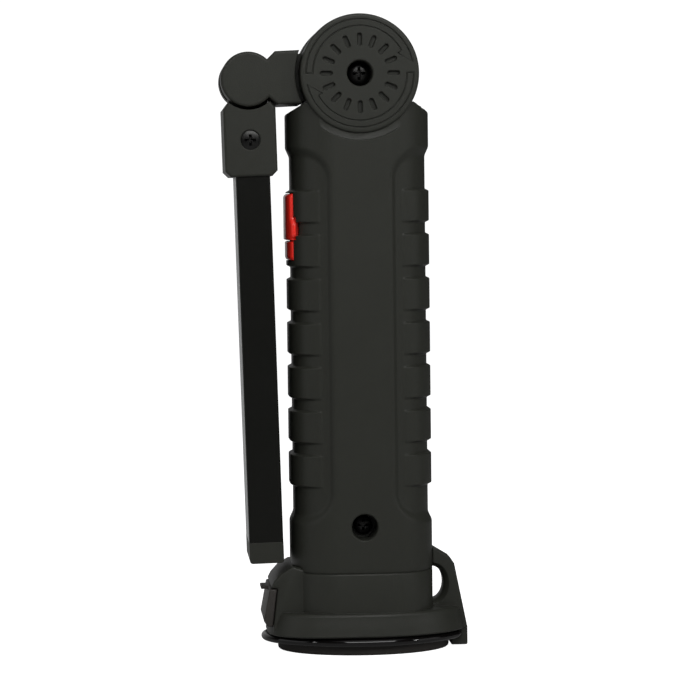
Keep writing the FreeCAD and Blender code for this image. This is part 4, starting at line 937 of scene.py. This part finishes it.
def pan_profile(radius, height, seat, shank, end):
    """The (radius, y) profile of a domed head on a plain shank, from its top to its end."""
    points = [(0.28 * radius, seat - height)]
    for step in range(1, 9):
        turn = math.pi / 2 * step / 8
        across, up = 0.28 + 0.72 * math.sin(turn), 0.35 + 0.65 * math.cos(turn)
        points.append((radius * across, seat - height * up))
    points += [(radius, seat - 0.1 * height), (0.95 * radius, seat), (shank, seat), (shank, end - 0.5 * MM)]
    return points + [(0.7 * shank, end)]


def make_screws():
    """The hinge bolt, the grip screw and the socket's screw."""
    face = GRIP_LOW.y
    seat = face + 6 * MM
    bolt = pan_profile(3.4 * MM, 2.4 * MM, seat, 2.0 * MM, -seat + 0.1 * MM)
    screw_piece("Hinge_bolt", "hinge_bolt", "grip", bolt, 3.9 * MM, 1.4 * MM)
    seat = face + 9 * MM
    shell_screw = pan_profile(2.9 * MM, 1.8 * MM, seat, 1.5 * MM, 9.0 * MM)
    screw_piece("Grip_screw", "grip_screw", "grip", shell_screw, 3.4 * MM, 1.2 * MM)
    low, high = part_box("socket_screw")
    rim = low.y
    radius, shank = (high.x - low.x) / 2, 1.5 * MM
    sunk = [(0.3 * radius, rim - 0.26 * MM), (0.6 * radius, rim - 0.2 * MM), (0.86 * radius, rim - 0.08 * MM)]
    sunk += [(0.97 * radius, rim + 0.02 * MM), (radius, rim + 0.12 * MM)]
    sunk += [(shank, rim + 0.12 * MM + radius - shank), (shank, high.y - 0.4 * MM), (0.7 * shank, high.y)]
    screw_piece("Socket_screw", "socket_screw", "blade", sunk, 3.5 * MM, 1.1 * MM)


# ---- bail ----------------------------------------------------------------------------------------
def bail_line(b):
    """The bail's centre line at its rest height, from pin to pin."""
    half_depth = (BAIL_HIGH.y - BAIL_LOW.y) / 2 - b.wire
    half_length = -(BAIL_LOW.x + b.wire)
    rise = b.bail_side - half_depth
    start = b.heel_depth + 0.3 * MM

    def touching(reach, offset):
        rest = b.bail_side**2 - reach**2 - (offset + rise) ** 2
        return rest / (2 * (b.bail_side - reach))

    end_radius = touching(half_length, 0.0)
    corner_radius = touching(BAIL_PIVOT.x, start)
    corner = (BAIL_PIVOT.x - corner_radius, start)
    corner_turn = math.degrees(math.atan2(corner[1] + rise, corner[0]))
    end = (-half_length + end_radius, 0.0)
    end_turn = math.degrees(math.atan2(rise, end[0]))
    side = [(BAIL_PIVOT.x, start - 2.4 * MM), (BAIL_PIVOT.x, start - 1.2 * MM)]
    side += arc(corner, corner_radius, 0.0, corner_turn, 18)
    side += arc((0.0, -rise), b.bail_side, corner_turn, end_turn, 60)[1:]
    tip = arc(end, end_radius, end_turn, 360.0 - end_turn, 48)[1:-1]
    return side + tip + [(x, -y) for x, y in reversed(side)]


def make_bail(b):
    """The bail: one bent wire with slightly domed ends."""
    line = [Vector((x, y, BAIL_PIVOT.z)) for x, y in bail_line(b)]
    up = Vector((0.0, 0.0, 1.0))
    rings = []
    count = 28
    for index, point in enumerate(line):
        ahead = (line[min(index + 1, len(line) - 1)] - line[max(index - 1, 0)]).normalized()
        across = ahead.cross(up)
        ring = []
        for step in range(count):
            turn = 2 * math.pi * step / count
            ring.append(point + b.wire * (math.cos(turn) * across + math.sin(turn) * up))
        rings.append(np.array(ring))
    for end, inner in ((0, 1), (-1, -2)):
        centre = np.array(line[end])
        along = centre - np.array(line[inner])
        along = along / np.linalg.norm(along) * 0.12 * b.wire
        small = centre + (rings[end] - centre) * 0.86
        rings[end] = rings[end] - along
        rings.insert(0 if end == 0 else len(rings), small)
    place_piece(lofted("Bail", rings), "bail", "bail_metal", "bail_wire", crease=50.0)


# ---- base ----------------------------------------------------------------------------------------
def oval_ring(centre_x, half_length, half_depth, z, steps=192, fullness=2.0):
    """A ring of points round an ellipse, fuller at the front where fullness is over 2."""
    angle = np.arange(steps) * (2 * math.pi / steps)
    cosine, sine = np.cos(angle), np.sin(angle)
    power = np.where(cosine < 0.0, 2 / fullness, 1.0)
    ring = np.empty((steps, 3))
    ring[:, 0] = centre_x + half_length * np.sign(cosine) * abs(cosine) ** power
    ring[:, 1] = half_depth * np.sign(sine) * abs(sine) ** power
    ring[:, 2] = z
    return ring


def skirt(b):
    """The flared skirt, its upper edge well rounded."""
    height = b.skirt_top - b.skirt_bottom
    rounding = 1.3 * MM
    rows = [(inset * MM, b.skirt_bottom + up * MM) for inset, up in ((0.55, 0.0), (0.2, 0.12), (0.0, 0.45))]
    rows += [(b.skirt_draft * share, b.skirt_bottom + height * share) for share in (0.3, 0.6)]
    for step in range(9):
        turn = math.pi / 2 * step / 8
        inset = b.skirt_draft + rounding * (1 - math.cos(turn))
        rows.append((inset, b.skirt_top - rounding + rounding * math.sin(turn)))
    rings = []
    for inset, z in rows:
        half_length, half_depth = b.skirt_length - inset, b.skirt_depth - 0.72 * inset
        rings.append(oval_ring(b.skirt_centre, half_length, half_depth, z, fullness=SKIRT_FULLNESS))
    return lofted("skirt", rings)


def upright_bar(name, inset, rows, corner):
    """A rounded upright bar in line with the grip, through (draw-in, z) rows."""
    half_width = (GRIP_HIGH.x - GRIP_LOW.x) / 2 - inset
    points, normals = bar_section(half_width, abs(GRIP_LOW.y) - inset, corner - inset, 40, 8)
    rings = []
    for draw, z in rows:
        ring = np.column_stack((points - normals * draw, np.full(len(points), z)))
        rings.append(ring)
    return lofted(name, rings)


def outline_tool(name, outline, half_depth, edge):
    """A side outline made |y| <= half_depth thick, all its edges rounded."""
    return soften(prism(name, outline, -half_depth, half_depth), edge, 4, 25.0)


def port_body(b):
    """The charging port's housing on the front of the base, with its hood over the cover."""
    wall = GRIP_LOW.x - 0.1 * MM
    lip = COVER_HIGH.z + 0.25 * MM
    outline = [
        (wall + 8 * MM, b.seam - 0.3 * MM),
        (wall, b.seam + 1.9 * MM),
        (wall - 3.4 * MM, b.seam - 0.1 * MM),
        (wall - 5.5 * MM, b.seam - 2.4 * MM),
        (wall - 6.6 * MM, lip),
        (PORT_FACE_TOP, lip),
        (PORT_FACE_LOW, COVER_LOW.z),
        (PORT_FACE_LOW, b.skirt_bottom + MM),
        (wall + 8 * MM, b.skirt_bottom + MM),
    ]
    return outline_tool("port", outline, b.port_depth, 0.7 * MM)


def cover_space(b):
    """The space that the cover takes out of the skirt."""
    lip = COVER_HIGH.z + 0.25 * MM
    outline = [
        (PORT_FACE_TOP, lip),
        (PORT_FACE_TOP - 5 * MM, lip),
        (PORT_FACE_TOP - 5 * MM, COVER_LOW.z - 0.25 * MM),
        (PORT_FACE_LOW, COVER_LOW.z - 0.25 * MM),
    ]
    return prism("cover space", outline, -b.port_depth, b.port_depth)


def loop_plate(b):
    """The lanyard plate on the back of the base."""
    wall = GRIP_HIGH.x + 0.1 * MM
    outline = [
        (wall - 6 * MM, b.seam),
        (wall, b.seam + 0.2 * MM),
        (wall, b.seam + 5.8 * MM),
        (wall + 0.4 * MM, b.seam + 5.7 * MM),
        (wall + 5.3 * MM, b.seam + 2.7 * MM),
        (wall + 6.5 * MM, b.seam + 0.9 * MM),
        (wall + 10.1 * MM, b.skirt_bottom + 1.4 * MM),
        (wall + 10.3 * MM, b.skirt_bottom),
        (wall - 6 * MM, b.skirt_bottom),
    ]
    return outline_tool("plate", outline, b.plate_depth, 1.25 * MM)


def heel(b):
    """The heel that the bail turns in."""
    inner, outer = BAIL_PIVOT.x - 2 * MM, BAIL_PIVOT.x + 3 * MM
    outline = rectangle(inner, outer, 0.5 * MM, b.skirt_bottom + 0.9 * MM)
    return outline_tool("heel", outline, b.heel_depth, 0.45 * MM)


def loop_tool(b):
    """The D-shaped lanyard hole with a wide bevel at both faces."""
    middle = (b.loop_top + b.loop_bottom) / 2
    half = (b.loop_top - b.loop_bottom) / 2
    flat = GRIP_HIGH.x - MM
    face = b.plate_depth
    rings = []
    steps = [
        (face + MM, 2.2),
        (face, 1.5),
        (face - 0.5 * MM, 0.95),
        (face - 1.2 * MM, 0.3),
        (face - 1.9 * MM, 0.0),
    ]
    for side in (-1, 1):
        for y, grow in steps if side < 0 else reversed(steps):
            width = b.loop_width + MM + grow * MM
            tall = half + 0.75 * grow * MM
            outline = [
                (flat + width * max(math.cos(a), 0.0) ** 0.8, middle + tall * math.sin(a))
                for a in np.radians(np.linspace(-90, 90, 41))
            ]
            rings.append(plate_ring(outline, side * y))
    return lofted("loop", rings)


def make_base(b, s):
    """The base: skirt, collar, spigot, port housing, lanyard plate and heel."""
    base = skirt(b)
    cut(base, cover_space(b))
    collar_rows = [
        (0.0, b.skirt_bottom + 0.2 * MM),
        (0.0, b.seam - 0.55 * MM),
        (0.06 * MM, b.seam - 0.3 * MM),
        (0.28 * MM, b.seam - 0.04 * MM),
        (0.34 * MM, b.seam),
    ]
    loop = loop_tool(b)
    cut(loop, upright_bar("keep", 0.0, [(0.0, b.skirt_top - MM), (0.0, b.seam + 8 * MM)], s.corner))
    foot_length = (FOOT_HIGH.x - FOOT_LOW.x) / 2
    foot_x = (FOOT_HIGH.x + FOOT_LOW.x) / 2
    floor_z = b.skirt_bottom + 0.8 * MM
    step = [oval_ring(foot_x, foot_length, FOOT_HIGH.y, z) for z in (FOOT_HIGH.z, floor_z)]
    spigot_rows = [(0.0, b.seam - 2.4 * MM), (0.0, b.seam + 4 * MM)]
    add(
        base,
        port_body(b),
        loop_plate(b),
        heel(b),
        upright_bar("collar", 0.0, collar_rows, s.corner),
        lofted("step", step),
        upright_bar("spigot", s.wall + 0.1 * MM, spigot_rows, s.corner),
    )
    pin = b.wire + 0.05 * MM
    cut(base, loop, turned("pin hole", [(pin, -8 * MM), (pin, 8 * MM)], BAIL_PIVOT, 40))
    cut(
        base,
        upright_bar("room", 2.4 * MM, [(0.0, floor_z), (0.0, b.seam - 2.4 * MM)], s.corner),
        upright_bar("bore", s.wall + 1.6 * MM, [(0.0, b.seam - 3.4 * MM), (0.0, b.seam + 5 * MM)], s.corner),
    )
    room = rectangle(PORT_FACE_TOP + 1.6 * MM, GRIP_LOW.x + 4 * MM, floor_z + 2 * MM, COVER_HIGH.z)
    slot_low, slot_high = PORT_MIDDLE - 1.88 * MM, PORT_MIDDLE + 1.88 * MM
    slot = rectangle(PORT_FACE_LOW - MM, PORT_FACE_TOP + 2 * MM, slot_low, slot_high)
    for outline, half in ((room, 9.5 * MM), (slot, 4.72 * MM)):
        cut(base, prism("port room", outline, -half, half))
    for x in (foot_x - MAGNET_SPREAD, foot_x + MAGNET_SPREAD):
        pocket = [oval_ring(x, MAGNET_POCKET, MAGNET_POCKET, z, 64) for z in (FOOT_HIGH.z - MM, 3.95 * MM)]
        cut(base, lofted("pocket", pocket))
    low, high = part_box("magnet_plate")
    gap = 0.1 * MM
    seat = rectangle(low.x - gap, high.x + gap, low.z - gap, high.z + gap)
    cut(base, prism("plate seat", seat, low.y - gap, high.y + gap))
    base.name = "Base"
    place_piece(base, "grip", "body_plastic", "base_housing")


def make_foot():
    """The rubber foot, with a soft lower edge and three oval grooves under it."""
    half_length = (FOOT_HIGH.x - FOOT_LOW.x) / 2
    centre_x = (FOOT_HIGH.x + FOOT_LOW.x) / 2
    half_depth = FOOT_HIGH.y
    rings = []
    for inset, z in ((0.9, 0.0), (0.45, 0.12), (0.12, 0.42), (0.0, 0.8), (0.0, 2.75), (0.1, 2.9)):
        rings.append(oval_ring(centre_x, half_length - inset * MM, half_depth - inset * MM, z * MM))
    foot = lofted("Foot", rings)
    for inset in (3.2, 5.6, 8.0):
        sides = []
        for name, rows in (
            ("groove", ((inset - 0.9 + 0.55, 0.45), (inset - 0.9 + 0.2, -0.3))),
            ("island", ((inset + 0.9 - 0.2, -0.8), (inset + 0.9 - 0.55, 0.9))),
        ):
            rings = []
            for draw, z in rows:
                size = (half_length - draw * MM, half_depth - draw * MM)
                rings.append(oval_ring(centre_x, *size, z * MM))
            sides.append(lofted(name, rings))
        cut(sides[0], sides[1])
        cut(foot, sides[0])
    for x in (centre_x - MAGNET_SPREAD, centre_x + MAGNET_SPREAD):
        pocket = [oval_ring(x, MAGNET_POCKET, MAGNET_POCKET, z * MM, 64) for z in (0.9, 3.5)]
        cut(foot, lofted("pocket", pocket))
    place_piece(foot, "grip", "foot_rubber", "foot_pad")


def make_cover(b):
    """The rubber cover of the charging port: a bent strip, its plug and its finger tab."""
    lip = COVER_HIGH.z
    low = COVER_LOW.z
    outline = [
        (PORT_FACE_TOP - 0.25 * MM, lip),
        (PORT_FACE_TOP - 2.5 * MM, lip),
        (PORT_FACE_TOP - 2.8 * MM, lip - 1.8 * MM),
        (PORT_FACE_LOW - 2.9 * MM, low + 1.7 * MM),
        (PORT_FACE_LOW - 1.7 * MM, low),
        (PORT_FACE_LOW - 0.25 * MM, low),
    ]
    cover = outline_tool("Port_cover", outline, b.port_depth - 0.4 * MM, 0.5 * MM)
    tab_x = PORT_FACE_TOP - 2.5 * MM
    tab = rectangle(tab_x - 2.2 * MM, tab_x + 1.2 * MM, lip - MM, lip - 0.06 * MM)
    plug = rectangle(PORT_FACE_LOW - 0.2 * MM, PORT_FACE_TOP + 0.4 * MM, 12.5 * MM, 14.6 * MM)
    add(cover, outline_tool("tab", tab, 4.0 * MM, 0.3 * MM), outline_tool("plug", plug, 4.2 * MM, 0.3 * MM))
    place_piece(cover, "cover", "cover_rubber", "port_cover")


# ---- stage ---------------------------------------------------------------------------------------
def soft_light(name, place, aim, size, power):
    """A large soft area light that looks at a point."""
    light = bpy.data.lights.new(name, "AREA")
    light.shape = "RECTANGLE"
    light.size, light.size_y = size
    light.energy = power
    made = linked(name, light)
    made.location = place
    made.rotation_euler = (Vector(aim) - Vector(place)).to_track_quat("-Z", "Y").to_euler()


def make_world():
    """White surroundings that are dimmer towards the camera's side and on the right."""
    g = Graph(bpy.data.worlds.new("Studio"))
    way = g.node("ShaderNodeTexCoord", output="Generated")
    behind = g.remap(g.along(way, "Y"), 0.1, 0.85, WORLD_NEAR, WORLD_FAR, soft=True)
    left = g.remap(g.along(way, "X"), -0.2, 0.4, 1.0, WORLD_SIDE, soft=True)
    seen = g.node("ShaderNodeLightPath", output="Is Camera Ray")
    strength = g.node("ShaderNodeMix", {"data_type": "FLOAT"}, {0: seen, 2: behind * left, 3: WORLD_SEEN})
    ground = g.node("ShaderNodeBackground", None, {"Strength": strength})
    g.node("ShaderNodeOutputWorld", None, {"Surface": ground}, output=None)
    bpy.context.scene.world = g.owner


def make_camera():
    """The camera: a long lens, almost level with the grip and slightly off its side."""
    turn, rise = math.radians(VIEW_TURN), math.radians(VIEW_RISE)
    back = Vector((math.sin(turn) * math.cos(rise), -math.cos(turn) * math.cos(rise), math.sin(rise)))
    lens = bpy.data.cameras.new("Camera")
    lens.lens = VIEW_LENS
    lens.sensor_width = 36.0
    lens.clip_start = 0.01
    made = linked("Camera", lens)
    made.location = VIEW_CENTRE + VIEW_DISTANCE * back
    look = (-back).to_track_quat("-Z", "Y") @ Quaternion((0.0, 0.0, 1.0), math.radians(VIEW_ROLL))
    made.rotation_mode = "QUATERNION"
    made.rotation_quaternion = look
    bpy.context.scene.camera = made


def make_floor(tone):
    """A wide pale floor."""
    mesh = bpy.data.meshes.new("Floor")
    low, high = -FLOOR_HALF, FLOOR_HALF
    mesh.from_pydata([(low, low, 0), (high, low, 0), (high, high, 0), (low, high, 0)], [], [(0, 1, 2, 3)])
    floor = linked("Floor", mesh)
    g = new_finish("Pale floor")
    cloud = g.noise(3.0, detail=3.0)
    behind = g.remap(g.along(g.place(), "Y"), -0.05, 0.2, soft=True)
    left = g.remap(g.along(g.place(), "X"), -0.1, 0.2, 1.0, 0.06, soft=True)
    seen = g.node("ShaderNodeLightPath", output="Is Camera Ray")
    glow = seen + (1.0 - seen) * FLOOR_GLOW * behind * left
    finish = g.finish(
        Base_Color=g.blend(seen, shade(tone, 0.6), tone),
        Roughness=0.7 + 0.1 * cloud,
        Emission_Color=g.blend(glow, shade(tone, 0.02), tone),
        Emission_Strength=FLOOR_LIGHT,
    )
    mesh.materials.append(finish)


# ---- operators -----------------------------------------------------------------------------------
class WORKLIGHT_OT_finishes(bpy.types.Operator):
    """Makes every finish and gives each node of the frame its own"""

    bl_idname = "worklight.finishes"
    bl_label = "Finishes"

    def execute(self, context):
        finishes = make_finishes(context.scene.work_light_colours)
        for slot, material in finishes.items():
            FINISH_NAMES[slot] = material.name
        for part in frame["record"]["subparts"]:
            node = frame["nodes"][part["node"]]
            material = finishes[part["material_slot"]]
            if not node.material_slots:
                node.data.materials.append(material)
            for slot in node.material_slots:
                slot.material = material
        return {"FINISHED"}


class WORKLIGHT_OT_grip(bpy.types.Operator):
    """Builds the two grip shells with their sunk fields, pads and hinge cheeks"""

    bl_idname = "worklight.grip"
    bl_label = "Grip shells"

    def execute(self, context):
        scene = context.scene
        make_grip(scene.work_light_grip, scene.work_light_cheek, scene.work_light_switch)
        return {"FINISHED"}


class WORKLIGHT_OT_switch(bpy.types.Operator):
    """Builds the red key and its surround"""

    bl_idname = "worklight.switch"
    bl_label = "Switch"

    def execute(self, context):
        make_switch(context.scene.work_light_grip, context.scene.work_light_switch)
        return {"FINISHED"}


class WORKLIGHT_OT_screws(bpy.types.Operator):
    """Builds the hinge bolt and the screws that face the near side"""

    bl_idname = "worklight.screws"
    bl_label = "Screws"

    def execute(self, context):
        make_screws()
        return {"FINISHED"}


class WORKLIGHT_OT_base(bpy.types.Operator):
    """Builds the base, the rubber foot and the port cover"""

    bl_idname = "worklight.base"
    bl_label = "Base, foot and cover"

    def execute(self, context):
        make_base(context.scene.work_light_base, context.scene.work_light_grip)
        make_foot()
        make_cover(context.scene.work_light_base)
        return {"FINISHED"}


class WORKLIGHT_OT_bail(bpy.types.Operator):
    """Builds the wire bail that lies round the foot"""

    bl_idname = "worklight.bail"
    bl_label = "Bail"

    def execute(self, context):
        make_bail(context.scene.work_light_base)
        return {"FINISHED"}


class WORKLIGHT_OT_stage(bpy.types.Operator):
    """Builds the floor, the lights, the surroundings and the camera"""

    bl_idname = "worklight.stage"
    bl_label = "Stage"

    def execute(self, context):
        make_world()
        make_floor(context.scene.work_light_colours.floor)
        make_camera()
        soft_light("Left", (-0.8, -0.3, 0.3), (0, 0, 0.12), (0.5, 0.7), 0.8)
        soft_light("Right", (0.8, -0.35, 0.25), (0, 0, 0.08), (0.4, 0.5), 0.4)
        soft_light("Top", (0.0, -0.15, 0.95), (0, 0, 0.1), (1.0, 0.7), 1.3)
        soft_light("Front", (0.1, -0.6, 0.5), (0, 0, 0.12), (0.6, 0.3), 3.1)
        soft_light("Left strip", (-1.0, -0.95, 0.55), (0, 0, 0.03), (0.1, 0.16), 0.9)
        soft_light("Right strip", (1.1, -0.8, 0.55), (0, 0, 0.03), (0.1, 0.16), 1.6)
        context.scene.view_settings.view_transform = "Standard"
        return {"FINISHED"}


class WORKLIGHT_PT_sidebar(bpy.types.Panel):
    """Lists the pieces of the work light and their settings"""

    bl_idname = "WORKLIGHT_PT_sidebar"
    bl_label = "Work light"
    bl_space_type = "VIEW_3D"
    bl_region_type = "UI"
    bl_category = "Work light"

    def draw(self, context):
        for operator in OPERATORS:
            self.layout.operator(operator.bl_idname)
        for name, kind in SETTINGS.items():
            column = self.layout.column(align=True)
            for key in kind.__annotations__:
                column.prop(getattr(context.scene, name), key)


SETTINGS = {
    "work_light_grip": WorkLightGrip,
    "work_light_cheek": WorkLightCheek,
    "work_light_switch": WorkLightSwitch,
    "work_light_base": WorkLightBase,
    "work_light_colours": WorkLightColours,
}
OPERATORS = (
    WORKLIGHT_OT_finishes,
    WORKLIGHT_OT_grip,
    WORKLIGHT_OT_switch,
    WORKLIGHT_OT_screws,
    WORKLIGHT_OT_base,
    WORKLIGHT_OT_bail,
    WORKLIGHT_OT_stage,
)


def register():
    for kind in SETTINGS.values():
        bpy.utils.register_class(kind)
    for name, kind in SETTINGS.items():
        setattr(bpy.types.Scene, name, PointerProperty(type=kind))
    for kind in (*OPERATORS, WORKLIGHT_PT_sidebar):
        bpy.utils.register_class(kind)


def unregister():
    for kind in (WORKLIGHT_PT_sidebar, *reversed(OPERATORS)):
        bpy.utils.unregister_class(kind)
    for name, kind in SETTINGS.items():
        delattr(bpy.types.Scene, name)
        bpy.utils.unregister_class(kind)


def main():
    """Builds the whole scene."""
    register()
    bpy.ops.worklight.finishes()
    bpy.ops.worklight.grip()
    bpy.ops.worklight.switch()
    bpy.ops.worklight.screws()
    bpy.ops.worklight.base()
    bpy.ops.worklight.bail()
    bpy.ops.worklight.stage()


if __name__ == "__main__":
    main()
